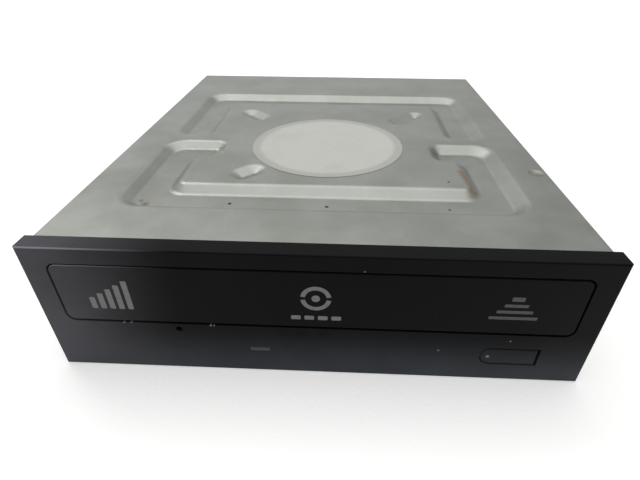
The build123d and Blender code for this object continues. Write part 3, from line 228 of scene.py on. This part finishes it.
dustAndSheen = {
    # the next two colours are a painted reflection of the pale floor, laid on at the left side and at the
    # bottom
    "side": "#545257",
    "below": "#4d5157",
    # the next colour is a painted highlight along the rounded top front edge
    "edge": "#8b8b90",
    "dust": "#6d6c6a",
    # the next colour is for painted glints, a few of them on lint
    "glintAndFluff": "#9a9b9c",
    # where the painted reflection fades out, in millimetres: from the left towards the right, from the bottom
    # upwards
    "left": -76.0,
    "right": -34.0,
    "low": -6.0,
    "high": 19.0,
    # painted glints and highlights, among them the highlight on the eject button; those at the door's lower
    # edge sit on dust in the gap
    "glintsAndLint": [
        (33.5, 11.0, 0.1, 0.3), (52.0, 15.5, 0.1, 0.25), (-52.5, 17.6, 0.1, 0.3), (-50.4, 17.7, 0.05, 0.3),
        (-28.6, 17.5, 0.1, 0.35), (-27.7, 17.5, 0.05, 0.3), (12.0, 37.6, 0.05, 0.25), (47.3, 9.0, 0.2, 0.5),
    ],
    # the next spots take the painted reflection back towards the plain black, in darker patches just under
    # the door
    "reflectionGaps": [(-9.0, 16.6, 0.4, 3.0), (-4.0, 16.2, 0.6, 3.0), (2.0, 16.4, 0.4, 3.0)],
}


def mouldedAbs(name, plain, dusty, dust, gloss):
    # injection-moulded ABS: the spark-eroded tool leaves a fine even grain that spreads the gloss;
    # dust and finger grease sit on it in soft patches; the left side and the bottom are paled with a painted
    # reflection of the pale floor, the top front edge at the left gets a painted highlight, and painted
    # glints sit on a few specks of lint
    material, add, place = newMaterial(name)
    spark = blotches(add, place, 0.45, detail=2.0)
    patch = blotches(add, place, 22.0, low=0.42, high=0.72, detail=4.0)
    specks = blotches(add, place, 0.7, low=0.74, high=0.8)
    facing = add("NewGeometry", output="Normal")
    upward = add("SeparateXYZ", {0: facing}, output="Z")
    forward = add("SeparateXYZ", {0: facing}, output="Y")
    # painted highlight: faces turned both up and to the front, the rounded top front edge
    edge = add("Math", {0: upward, 1: forward}, operation="MULTIPLY")
    edge = add("MapRange", {0: edge, 1: -0.2, 2: -0.42, 3: 0.0, 4: 1.0})
    upward = add("MapRange", {0: upward, 1: 0.3, 2: 0.9})
    sideways = add("SeparateXYZ", {0: place}, output="X")
    height = add("SeparateXYZ", {0: place}, output="Z")
    # masks of the painted reflection: full at the far left and at the bottom, fading out to the right and
    # upwards
    reflectedLeft = add("MapRange", {0: sideways, 1: dustAndSheen["left"] * mm, 2: dustAndSheen["right"] * mm, 3: 1.0, 4: 0.0},
                 interpolation_type="SMOOTHSTEP")
    reflectedLow = add("MapRange", {0: height, 1: dustAndSheen["low"] * mm, 2: dustAndSheen["high"] * mm, 3: 1.0, 4: 0.0},
                    interpolation_type="SMOOTHSTEP")
    uneven = blotches(add, place, 30.0, least=0.7, detail=4.0)
    settled = add("Math", {0: patch, 1: spark}, operation="MULTIPLY")
    color = tint(add, plain, settled, dusty, dust)
    color = tint(add, color, upward, dusty, 0.15)
    # painted reflection of the floor: the left side and the bottom paled, unevenly
    color = tint(add, color, add("Math", {0: reflectedLeft, 1: uneven}, operation="MULTIPLY"), dustAndSheen["side"])
    color = tint(add, color, add("Math", {0: reflectedLow, 1: uneven}, operation="MULTIPLY"), dustAndSheen["below"])
    # painted highlight on the top front edge, fading out to the right with the painted reflection
    color = tint(add, color, add("Math", {0: reflectedLeft, 1: edge}, operation="MULTIPLY"), dustAndSheen["edge"])
    # darker patches under the door: the painted reflection taken back towards the plain black
    color = tint(add, color, roundSpots(add, place, dustAndSheen["reflectionGaps"], True), plain, 0.8)
    color = tint(add, color, specks, dustAndSheen["dust"], 0.2)
    # painted glints and highlights, a few on lint
    color = tint(add, color, roundSpots(add, place, dustAndSheen["glintsAndLint"], True), dustAndSheen["glintAndFluff"], 0.7)
    rough = add("MapRange", {0: patch, 3: gloss, 4: gloss + 0.12})
    relief = add("Bump", {"Height": spark, "Distance": 0.02 * mm})
    finishMaterial(add, {"Base Color": color, "Roughness": rough, "IOR": 1.53, "Specular IOR Level": 0.05,
                         "Normal": relief})
    return material


def mouldedAcrylic():
    # smoked acrylic light pipe: nearly as dark as the front until the lamp behind it is lit
    material, add, place = newMaterial("mouldedAcrylic")
    color = add("Mix", {0: blotches(add, place, 0.8), 6: "#222326", 7: "#2b2c2f"}, output=2, data_type="RGBA")
    finishMaterial(add, {"Base Color": color, "Roughness": 0.3, "IOR": 1.49, "Subsurface Weight": 0.2,
                         "Subsurface Scale": 0.5 * mm})
    return material


def glassFilledPolymer():
    # black glass-filled polymer of the chassis: dull, with pale flow marks where fibres reach the skin
    material, add, place = newMaterial("glassFilledPolymer")
    flow = blotches(add, place, 6.0, detail=5.0, stretch=(1, 0.3, 1))
    fibre = blotches(add, place, 0.5, low=0.62, high=0.8, stretch=(1, 0.25, 1))
    color = add("Mix", {0: flow, 6: "#26272a", 7: "#303135"}, output=2, data_type="RGBA")
    color = tint(add, color, fibre, "#4a4b4e", 0.35)
    relief = add("Bump", {"Height": fibre, "Distance": 0.01 * mm})
    finishMaterial(add, {"Base Color": color, "Roughness": add("MapRange", {0: flow, 3: 0.44, 4: 0.56}),
                         "IOR": 1.54, "Normal": relief})
    return material


def mouldedTray():
    # black ABS of the tray: finer grain than the chassis, scuffed paler where discs slide
    material, add, place = newMaterial("mouldedTray")
    patch = blotches(add, place, 18.0, detail=4.0)
    scuffs = blotches(add, place, 2.5, low=0.63, high=0.78, detail=4.0, stretch=(0.15, 1, 1))
    color = add("Mix", {0: patch, 6: "#2a2b2d", 7: "#33353a"}, output=2, data_type="RGBA")
    color = tint(add, color, scuffs, "#5a5b5d", 0.3)
    relief = add("Bump", {"Height": blotches(add, place, 0.35), "Distance": 0.012 * mm})
    finishMaterial(add, {"Base Color": color, "Roughness": add("MapRange", {0: patch, 3: 0.34, 4: 0.44}),
                         "IOR": 1.53, "Normal": relief})
    return material


def mouldedAcetal(name, pale, deep):
    # natural acetal or nylon: waxy off-white that glows a little at thin teeth, greased in places
    material, add, place = newMaterial(name)
    color = add("Mix", {0: blotches(add, place, 3.0), 6: deep, 7: pale}, output=2, data_type="RGBA")
    greased = blotches(add, place, 2.0, low=0.45, high=0.65, least=0.42, most=0.26)
    finishMaterial(add, {"Base Color": color, "Roughness": greased, "IOR": 1.48, "Subsurface Weight": 0.15,
                         "Subsurface Scale": 1.0 * mm})
    return material


def mouldedRubber():
    # nitrile rubber: soft black skin, dulled by bloom and lint
    material, add, place = newMaterial("mouldedRubber")
    bloom = blotches(add, place, 2.2, low=0.4, detail=5.0)
    color = add("Mix", {0: bloom, 6: "#1b1b1c", 7: "#2f2f30"}, output=2, data_type="RGBA")
    relief = add("Bump", {"Height": bloom, "Distance": 0.02 * mm})
    finishMaterial(add, {"Base Color": color, "Roughness": 0.72, "IOR": 1.52, "Normal": relief})
    return material


def drawnSteel():
    # deep-drawn nickel-plated can: bright, with rings of draw marks round it
    material, add, place = newMaterial("drawnSteel")
    rings = blotches(add, place, 0.5, stretch=(0.06, 0.06, 1))
    color = add("Mix", {0: blotches(add, place, 5.0), 6: "#b3b2ae", 7: "#c2c1bd"}, output=2, data_type="RGBA")
    relief = add("Bump", {"Height": rings, "Distance": 0.004 * mm})
    finishMaterial(add, {"Base Color": color, "Metallic": 1.0, "Normal": relief,
                         "Roughness": add("MapRange", {0: rings, 3: 0.22, 4: 0.34})})
    return material


def groundSteel():
    # centreless-ground stainless rod: near mirror, with hair-fine turns and a film of oil
    material, add, place = newMaterial("groundSteel")
    turns = blotches(add, place, 0.25, detail=2.0, stretch=(0.1, 1, 0.1))
    relief = add("Bump", {"Height": turns, "Distance": 0.002 * mm})
    finishMaterial(add, {"Base Color": "#c4c5c7", "Metallic": 1.0, "Normal": relief,
                         "Roughness": blotches(add, place, 4.0, low=0.35, least=0.1, most=0.2)})
    return material


def zincScrew():
    # bright zinc-plated screw: bluish, unevenly dulled by passivation
    material, add, place = newMaterial("zincScrew")
    cloud = blotches(add, place, 1.2, detail=4.0)
    color = add("Mix", {0: cloud, 6: "#9da1a6", 7: "#b7bbbf"}, output=2, data_type="RGBA")
    finishMaterial(add, {"Base Color": color, "Metallic": 1.0,
                         "Roughness": add("MapRange", {0: cloud, 3: 0.24, 4: 0.42})})
    return material


def diecastAlloy():
    # die-cast light alloy: grey skin with flow swirls and tiny pores
    material, add, place = newMaterial("diecastAlloy")
    swirl = add("TexNoise", {"Vector": place, "Scale": 1 / (5.0 * mm), "Detail": 5.0, "Distortion": 1.2})
    swirl = add("MapRange", {0: swirl, 1: 0.35, 2: 0.65})
    color = add("Mix", {0: swirl, 6: "#838587", 7: "#a2a4a5"}, output=2, data_type="RGBA")
    relief = add("Bump", {"Height": blotches(add, place, 0.4), "Distance": 0.02 * mm})
    finishMaterial(add, {"Base Color": color, "Metallic": 0.9, "Normal": relief,
                         "Roughness": add("MapRange", {0: swirl, 3: 0.38, 4: 0.52})})
    return material


board = {"resist": "#1d5a34", "copper": "#2f7a47", "dust": "#75806f", "trackPitch": 1.27, "area": (9.0, 7.0)}


def solderResist():
    # green solder resist over etched copper: tracks stand proud and paler under the glossy film,
    # and run one way or the other from area to area
    material, add, place = newMaterial("solderResist")
    area = (board["area"][0] * mm, board["area"][1] * mm, 1.0)
    snapped = add("VectorMath", {0: place, 1: area}, operation="SNAP")
    chosen = add("TexWhiteNoise", {"Vector": snapped}, output="Value")
    along = add("Math", {0: chosen, 1: 0.5}, operation="GREATER_THAN")
    across = add("Math", {0: 1.0, 1: along}, operation="SUBTRACT")
    tracks = 0.0
    for axis, mask in (("X", along), ("Y", across)):
        position = add("SeparateXYZ", {0: place}, output=axis)
        wave = add("Math", {0: position, 1: 1 / (board["trackPitch"] * mm)}, operation="MULTIPLY")
        wave = add("Math", {0: wave, 1: 0.5}, operation="PINGPONG")
        track = add("MapRange", {0: wave, 1: 0.26, 2: 0.3})
        tracks = add("Math", {0: track, 1: mask, 2: tracks}, operation="MULTIPLY_ADD")
    routed = blotches(add, place, 16.0, low=0.49, high=0.51, detail=0.0)
    tracks = add("Math", {0: tracks, 1: routed}, operation="MULTIPLY")
    color = tint(add, board["resist"], tracks, board["copper"])
    color = tint(add, color, blotches(add, place, 12.0, low=0.5, high=0.8), board["dust"], 0.25)
    relief = add("Bump", {"Height": tracks, "Distance": 0.04 * mm})
    finishMaterial(add, {"Base Color": color, "Roughness": 0.28, "IOR": 1.52, "Normal": relief})
    return material


def mouldedEpoxy():
    # transfer-moulded epoxy of chips and plugs: black with a fine matt bloom
    material, add, place = newMaterial("mouldedEpoxy")
    bloom = blotches(add, place, 0.6)
    color = add("Mix", {0: bloom, 6: "#1d1d1f", 7: "#29292b"}, output=2, data_type="RGBA")
    relief = add("Bump", {"Height": bloom, "Distance": 0.01 * mm})
    finishMaterial(add, {"Base Color": color, "Roughness": 0.5, "IOR": 1.55, "Normal": relief})
    return material


def tinnedCopper():
    # tin-plated copper legs: soft silver grey
    material, add, place = newMaterial("tinnedCopper")
    finishMaterial(add, {"Base Color": "#b8b8b6", "Metallic": 1.0,
                         "Roughness": blotches(add, place, 0.5, least=0.25, most=0.4)})
    return material


def goldPlate():
    # thin gold over nickel: warm and smooth, paler where plugs have slid
    material, add, place = newMaterial("goldPlate")
    rubbed = blotches(add, place, 0.5, low=0.4, stretch=(1, 0.2, 1))
    color = add("Mix", {0: rubbed, 6: "#d9b45c", 7: "#c9a968"}, output=2, data_type="RGBA")
    finishMaterial(add, {"Base Color": color, "Metallic": 1.0,
                         "Roughness": add("MapRange", {0: rubbed, 3: 0.16, 4: 0.3})})
    return material


conductorPitch = 1.0


def flatCableFilm():
    # polyester film over flat tinned conductors: the conductors show as close pale stripes
    material, add, place = newMaterial("flatCableFilm")
    across = add("SeparateXYZ", {0: place}, output="X")
    stripe = add("Math", {0: across, 1: 1 / (conductorPitch * mm)}, operation="MULTIPLY")
    stripe = add("Math", {0: stripe, 1: 0.5}, operation="PINGPONG")
    stripe = add("MapRange", {0: stripe, 1: 0.18, 2: 0.26})
    color = add("Mix", {0: stripe, 6: "#b9bbb9", 7: "#d8dad8"}, output=2, data_type="RGBA")
    relief = add("Bump", {"Height": stripe, "Distance": 0.03 * mm})
    finishMaterial(add, {"Base Color": color, "Roughness": 0.3, "IOR": 1.6, "Normal": relief})
    return material


def lensGlass():
    # moulded aspheric lens: clear, with the blue-violet cast of its coating
    material, add, place = newMaterial("lensGlass")
    breath = blotches(add, place, 1.5, low=0.4, least=0.01, most=0.04)
    finishMaterial(add, {"Base Color": "#c3cff0", "IOR": 1.58, "Transmission Weight": 0.85,
                         "Coat Weight": 0.5, "Coat Tint": "#9aa6ff", "Roughness": breath})
    return material


def sinteredFerrite():
    # pressed and sintered ferrite: charcoal with a coarse fired grain
    material, add, place = newMaterial("sinteredFerrite")
    grain = blotches(add, place, 0.3)
    color = add("Mix", {0: grain, 6: "#3a3b3e", 7: "#515256"}, output=2, data_type="RGBA")
    relief = add("Bump", {"Height": grain, "Distance": 0.03 * mm})
    finishMaterial(add, {"Base Color": color, "Roughness": 0.6, "Metallic": 0.3, "Normal": relief})
    return material


windingPitch = 0.4


def enamelledCopper():
    # enamelled winding wire: copper under clear enamel, the turns show as close ridges
    material, add, place = newMaterial("enamelledCopper")
    height = add("SeparateXYZ", {0: place}, output="Z")
    turns = add("Math", {0: height, 1: 1 / (windingPitch * mm)}, operation="MULTIPLY")
    turns = add("Math", {0: turns, 1: 0.5}, operation="PINGPONG")
    turns = add("MapRange", {0: turns, 1: 0.05, 2: 0.4})
    color = add("Mix", {0: turns, 6: "#7c3f1e", 7: "#b8683a"}, output=2, data_type="RGBA")
    relief = add("Bump", {"Height": turns, "Distance": 0.15 * mm})
    finishMaterial(add, {"Base Color": color, "Metallic": 0.85, "Coat Weight": 0.4, "Normal": relief,
                         "Roughness": blotches(add, place, 1.0, least=0.25, most=0.35)})
    return material


def screenInk(name, plain, worn, wear):
    # screen-printed ink: flat and matt, thin where it has been rubbed so that the black shows through
    material, add, place = newMaterial(name)
    rubbed = blotches(add, place, 0.8, low=0.45, high=0.75, detail=5.0)
    finishMaterial(add, {"Base Color": tint(add, plain, rubbed, worn, wear), "Roughness": 0.55, "IOR": 1.5})
    return material


print("making materials")
sheetMetal = galvanisedSheet()
screwZinc = zincScrew()
smokedResin = mouldedAcrylic()
chassis = glassFilledPolymer()
epoxyBlack = mouldedEpoxy()
gearAcetal = mouldedAcetal("gearAcetal", "#e6e2d4", "#d6d0be")
socketNylon = mouldedAcetal("socketNylon", "#ddd5bf", "#cfc5aa")
rubberBlack = mouldedRubber()
canSteel = drawnSteel()
rodSteel = groundSteel()
boardGreen = solderResist()
tinned = tinnedCopper()
cableFilm = flatCableFilm()
finishes = {
    sheetMetal: ["top_cover", "bottom_cover", "clamp_bridge", "spindle_plate", "pickup_cover"],
    labelPaper(): ["spindle_label"],
    screwZinc: ["cover_screws", "board_screws"],
    mouldedAbs("bezelAbs", "#0b0b0c", "#1e1e20", 0.35, 0.36): ["bezel"],
    mouldedAbs("doorAbs", "#09090a", "#1a1a1c", 0.3, 0.34): ["tray_panel"],
    mouldedAbs("buttonAbs", "#0e0e10", "#242427", 0.35, 0.3): ["eject_button"],
    smokedResin: ["indicator_window", "indicator_lamp"],
    chassis: ["loader_frame", "traverse_frame", "turntable", "lens_holder"],
    mouldedTray(): ["tray"],
    gearAcetal: ["clamp_disc", "motor_pulley", "pulley_gear", "drive_gear", "cam_slider", "feed_nut"],
    socketNylon: ["eject_switch", "cable_sockets", "front_socket"],
    rubberBlack: ["pivot_bushes", "drive_belt", "turntable_pad"],
    canSteel: ["clamp_plate", "loading_motor", "sled_motor", "spindle_rotor", "capacitors"],
    rodSteel: ["guide_rod_left", "guide_rod_right", "lead_screw"],
    diecastAlloy(): ["pickup_body"],
    lensGlass(): ["objective_lens"],
    sinteredFerrite(): ["centring_magnet"],
    enamelledCopper(): ["spindle_stator"],
    boardGreen: ["main_board", "front_board"],
    epoxyBlack: ["main_chip", "driver_chip", "memory_chip", "rear_connector"],
    goldPlate(): ["connector_contacts"],
    cableFilm: ["pickup_cable", "front_cable"],
}
for material, names in finishes.items():
    for name in names:
        mesh = nodes[name].data
        mesh.materials.clear()
        mesh.materials.append(material)
        smoothMesh(mesh)
print("finishes given to", sum(len(names) for names in finishes.values()), "nodes")

# the chips' legs are tinned: every face that lies outside the moulded body
legOut = 1.15 * mm
for name in ("main_chip", "driver_chip", "memory_chip"):
    mesh = nodes[name].data
    mesh.materials.append(tinned)
    low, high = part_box(name)
    middle, half = (low + high) / 2, (high - low) / 2
    for face in mesh.polygons:
        place = face.center - middle
        outside = max(abs(place.x) - half.x, abs(place.y) - half.y) > -legOut
        face.material_index = 1 if outside else 0


def newPiece(name, body, material, fill):
    # fill makes the mesh; a piece without a body is left unattached
    mesh = bpy.data.meshes.new(name)
    shape = bmesh.new()
    fill(shape)
    bmesh.ops.recalc_face_normals(shape, faces=shape.faces)
    shape.to_mesh(mesh)
    shape.free()
    mesh.materials.append(material)
    piece = bpy.data.objects.new(name, mesh)
    bpy.context.scene.collection.objects.link(piece)
    if body:
        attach(piece, body)
    return piece


# three printed marks on the tray door: plain bars, a ring with a dot, each a film of ink
marks = {
    "inkThick": 0.02,
    "inkSunk": 0.25,  # share of the film that lies in the door's face
    "corner": 0.3,
    "cornerSteps": 3,
    "arcSteps": 24,
    "left": {"x": (-59.6, -48.4), "z": (22.6, 32.2), "bars": 5, "gap": 0.9, "lowest": 0.4},
    "middle": {"ring": (0.0, 28.4, 4.0, 2.8), "opening": 8, "dot": 1.1, "feet": (21.0, 22.4), "count": 4,
               "x": (-6.6, 6.6), "gap": 1.0},
    "right": {"x": (44.4, 56.8), "rows": (23.4, 25.5, 27.6), "tall": 1.0, "inset": 1.6,
              "cap": (1.6, 29.6, 31.0)},
}


def inkFilm(shape, outline):
    # a closed outline in x and z, made into a film that lies on the door's face
    rings = []
    for y in (frontY - marks["inkThick"] * mm, frontY + marks["inkSunk"] * marks["inkThick"] * mm):
        rings.append([shape.verts.new((x * mm, y, z * mm)) for x, z in outline])
    shape.faces.new(rings[0])
    shape.faces.new(list(reversed(rings[1])))
    for i in range(len(outline)):
        j = (i + 1) % len(outline)
        shape.faces.new((rings[0][i], rings[1][i], rings[1][j], rings[0][j]))


def roundedBar(x, z):
    points = []
    corner = marks["corner"]
    for atX, atZ, start in ((x[1], z[1], 0), (x[0], z[1], 90), (x[0], z[0], 180), (x[1], z[0], 270)):
        middleX = atX + (corner if atX == x[0] else -corner)
        middleZ = atZ + (corner if atZ == z[0] else -corner)
        for step in range(marks["cornerSteps"] + 1):
            angle = math.radians(start + 90 * step / marks["cornerSteps"])
            points.append((middleX + corner * math.cos(angle), middleZ + corner * math.sin(angle)))
    return points


def arcPoints(x, z, radius, start, end):
    steps = marks["arcSteps"]
    angles = [math.radians(start + (end - start) * step / steps) for step in range(steps + 1)]
    return [(x + radius * math.cos(angle), z + radius * math.sin(angle)) for angle in angles]


def leftMark(shape):
    look = marks["left"]
    low, high = look["z"]
    pitch = (look["x"][1] - look["x"][0] + look["gap"]) / look["bars"]
    for number in range(look["bars"]):
        left = look["x"][0] + number * pitch
        share = look["lowest"] + (1 - look["lowest"]) * number / (look["bars"] - 1)
        inkFilm(shape, roundedBar((left, left + pitch - look["gap"]), (low, low + (high - low) * share)))


def middleMark(shape):
    look = marks["middle"]
    x, z, outer, inner = look["ring"]
    for side in (0, 180):
        start, end = side + look["opening"], side + 180 - look["opening"]
        inkFilm(shape, arcPoints(x, z, outer, start, end) + arcPoints(x, z, inner, end, start))
    inkFilm(shape, arcPoints(x, z, look["dot"], 0, 360)[:-1])
    pitch = (look["x"][1] - look["x"][0] + look["gap"]) / look["count"]
    for number in range(look["count"]):
        left = look["x"][0] + number * pitch
        inkFilm(shape, roundedBar((left, left + pitch - look["gap"]), look["feet"]))


def rightMark(shape):
    look = marks["right"]
    for number, low in enumerate(look["rows"]):
        inset = number * look["inset"]
        inkFilm(shape, roundedBar((look["x"][0] + inset, look["x"][1] - inset), (low, low + look["tall"])))
    half, low, high = look["cap"]
    middle = sum(look["x"]) / 2
    inkFilm(shape, roundedBar((middle - half, middle + half), (low, high)))


print("printing the marks")
paleInk = screenInk("paleInk", "#717270", "#4e4f4e", 0.6)
dimInk = screenInk("dimInk", "#434446", "#2a2a2c", 0.8)
newPiece("left_mark", "tray", paleInk, leftMark)
newPiece("middle_mark", "tray", paleInk, middleMark)
newPiece("right_mark", "tray", dimInk, rightMark)


# lead screw with its rolled thread, in place of the plain rod
# the thread is left-handed, so that the nut goes back as the screw turns forward
leadScrew = {
    "lead": 3.0, "starts": 2, "depth": 0.32, "sides": 28, "rowStep": 0.125, "neck": 0.8, "frontNeck": 2.2,
    "backNeck": 6.2, "chamfer": 0.2, "crest": 0.3, "flank": 0.4, "fade": 1.2, "fadeFrom": 0.15,
}


def threadedScrew(shape):
    # rings of points from the front end to the back; a ring without a plain radius is threaded
    look = leadScrew
    middle = (screwLow + screwHigh) / 2
    outer = (screwHigh.x - screwLow.x) / 2
    neck = look["neck"] * mm
    chamfer = look["chamfer"] * mm
    front = screwLow.y + look["frontNeck"] * mm
    back = screwHigh.y - look["backNeck"] * mm
    rows = round((back - front) / (look["rowStep"] * mm))
    stations = [(screwLow.y, neck - chamfer), (screwLow.y + chamfer, neck), (front, neck)]
    stations += [(front + (back - front) * row / rows, None) for row in range(rows + 1)]
    stations += [(back, neck), (screwHigh.y - chamfer, neck), (screwHigh.y, neck - chamfer)]
    rings = []
    for y, plain in stations:
        ring = []
        for side in range(look["sides"]):
            share = side / look["sides"]
            radius = plain
            if plain is None:
                wave = (((y - front) / (look["lead"] * mm) + share) * look["starts"]) % 1
                cut = min(1.0, max(0.0, (abs(wave - 0.5) * 2 - look["crest"]) / look["flank"]))
                grown = min(1.0, min(y - front, back - y) / (look["fade"] * mm) + look["fadeFrom"])
                radius = outer - look["depth"] * mm * cut * grown
            angle = 2 * math.pi * share
            ring.append(shape.verts.new((middle.x + radius * math.sin(angle), y,
                                         middle.z + radius * math.cos(angle))))
        rings.append(ring)
    for near, far in zip(rings, rings[1:]):
        for side in range(look["sides"]):
            after = (side + 1) % look["sides"]
            shape.faces.new((near[side], near[after], far[after], far[side]))
    shape.faces.new(rings[0])
    shape.faces.new(list(reversed(rings[-1])))


print("cutting the lead screw's thread")
screwPiece = newPiece("lead_screw_threaded", "lead_screw", rodSteel, threadedScrew)
smoothMesh(screwPiece.data)
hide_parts("lead_screw")


# the pickup's flat cable in two unattached parts with cuts across them, in place of the still one: the loop
# goes from its socket to the traverse, the run from there to the sled
pickupFlex = {"weld": 0.001, "splitDown": 2.8, "bendStart": 10.5, "bends": 7, "hem": 0.6}


def flexPart(upper):
    # a copy of the still cable above or below the split, with cuts across it at even steps
    def fill(shape):
        low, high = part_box("pickup_cable")
        shape.from_mesh(nodes["pickup_cable"].data)
        bmesh.ops.remove_doubles(shape, verts=shape.verts, dist=pickupFlex["weld"] * mm)
        everything = shape.verts[:] + shape.edges[:] + shape.faces[:]
        cut = bmesh.ops.bisect_plane(shape, geom=everything, plane_no=(0, 0, 1), clear_inner=upper,
                                     plane_co=(0, 0, high.z - pickupFlex["splitDown"] * mm),
                                     clear_outer=not upper)
        rim = [item for item in cut["geom_cut"] if isinstance(item, bmesh.types.BMEdge)]
        bmesh.ops.contextual_create(shape, geom=rim)
        for bend in range(1, pickupFlex["bends"]):
            y = high.y - pickupFlex["bendStart"] * mm * bend / pickupFlex["bends"]
            everything = shape.verts[:] + shape.edges[:] + shape.faces[:]
            bmesh.ops.bisect_plane(shape, geom=everything, plane_co=(0, y, 0), plane_no=(0, 1, 0))
    return fill


flexLoop = newPiece("pickup_cable_loop", None, cableFilm, flexPart(False))
flexRun = newPiece("pickup_cable_run", None, cableFilm, flexPart(True))
for piece in (flexLoop, flexRun):
    smoothMesh(piece.data)
    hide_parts("pickup_cable")
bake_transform(flexLoop)
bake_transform(flexRun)


# stage, in metres and watts
studio = {
    "floorReach": 6.0,
    "floorColor": "#f2f2f1",
    "floorLift": 0.32,
    "farLift": 1.0,
    "floorNear": 0.35,
    "floorFar": 1.6,
    "matteLight": 0.5,
    "brightSide": (-0.75, 0.55, 0.35),
    "sideBright": 0.76,
    "sideDim": 0.33,
    "sideSpread": (-0.4, 0.8),
    "lens": 24.5,
    "shift": (-0.0097, -0.0022),
    "cameraPlace": (0.0061, -0.1681, 0.1033),
    "cameraTurn": (55.910, -0.199, 2.545),
    "overhead": {"place": (0.05, 0.05, 0.95), "size": 1.15, "watts": 5.0},
    "backLeft": {"place": (-0.56, 0.36, 0.82), "size": 0.3, "watts": 1.3},
}


def paperFloor():
    # matt white paper that keeps the drive's soft shadow; the eye sees it lifted to white, the
    # more so far from the drive, where the lamps no longer reach
    material, add, place = newMaterial("paperFloor")
    tooth = blotches(add, place, 1.5)
    relief = add("Bump", {"Height": tooth, "Distance": 0.02 * mm})
    paper = add("BsdfPrincipled", {"Base Color": studio["floorColor"], "Roughness": 0.9,
                                   "Specular IOR Level": 0.1, "Normal": relief})
    away = add("VectorMath", {0: place}, output="Value", operation="LENGTH")
    lift = add("MapRange", {0: away, 1: studio["floorNear"], 2: studio["floorFar"], 3: studio["floorLift"],
                            4: studio["farLift"]})
    seen = add("LightPath", output="Is Camera Ray")
    for ray in ("Is Glossy Ray", "Is Transmission Ray"):
        seen = add("Math", {0: seen, 1: add("LightPath", output=ray)}, operation="MAXIMUM")
    lift = add("Math", {0: lift, 1: seen}, operation="MULTIPLY")
    glow = add("Emission", {"Color": "#ffffff", "Strength": lift})
    add("OutputMaterial", {"Surface": add("AddShader", {0: paper, 1: glow})})
    return material


def makeFloor():
    mesh = bpy.data.meshes.new("floor")
    reach = studio["floorReach"]
    mesh.from_pydata([(-reach, -reach, 0), (reach, -reach, 0), (reach, reach, 0), (-reach, reach, 0)], [],
                     [(0, 1, 2, 3)])
    mesh.materials.append(paperFloor())
    floor = bpy.data.objects.new("floor", mesh)
    floor.location.z = cadLow.z
    bpy.context.scene.collection.objects.link(floor)


def makeCamera():
    # close in front of the drive and above it, a little right of its middle
    data = bpy.data.cameras.new("camera")
    data.lens = studio["lens"]
    data.sensor_width = 36.0
    data.shift_x, data.shift_y = studio["shift"]
    data.clip_start = 0.01
    camera = bpy.data.objects.new("camera", data)
    camera.location = studio["cameraPlace"]
    camera.rotation_euler = [math.radians(angle) for angle in studio["cameraTurn"]]
    bpy.context.scene.collection.objects.link(camera)
    bpy.context.scene.camera = camera


def softbox(name, place, size, watts):
    # a square lamp that faces the drive
    data = bpy.data.lights.new(name, "AREA")
    data.size = size
    data.energy = watts
    lamp = bpy.data.objects.new(name, data)
    lamp.location = place
    lamp.rotation_euler = (-Vector(place)).to_track_quat("-Z", "Y").to_euler()
    bpy.context.scene.collection.objects.link(lamp)


def makeWorld():
    # white to the eye and through glass; a gloss sees it brighter at the back left than at the front
    # right, as in a room with its window there; matt surfaces get an even, dimmer light from it
    world = bpy.data.worlds.new("studio")
    bpy.context.scene.world = world
    world.use_nodes = True
    world.node_tree.nodes.clear()
    add = functools.partial(addNode, world.node_tree)
    side = tuple(Vector(studio["brightSide"]).normalized())
    toward = add("VectorMath", {0: add("TexCoord", output="Generated"), 1: side}, output="Value",
                 operation="DOT_PRODUCT")
    least, most = studio["sideSpread"]
    graded = add("MapRange", {0: toward, 1: least, 2: most, 3: studio["sideDim"], 4: studio["sideBright"]},
                 interpolation_type="SMOOTHSTEP")
    glossy = add("LightPath", output="Is Glossy Ray")
    clear = add("Math", {0: add("LightPath", output="Is Camera Ray"),
                         1: add("LightPath", output="Is Transmission Ray")}, operation="MAXIMUM")
    strength = add("Mix", {0: glossy, 2: studio["matteLight"], 3: graded})
    strength = add("Mix", {0: clear, 2: strength, 3: 1.0})
    add("OutputWorld", {"Surface": add("Background", {"Color": "#ffffff", "Strength": strength})})


print("setting the stage")
makeFloor()
makeCamera()
makeWorld()
for name in ("overhead", "backLeft"):
    softbox(name, **studio[name])
bpy.context.scene.view_settings.view_transform = "Standard"

print("scene ready")
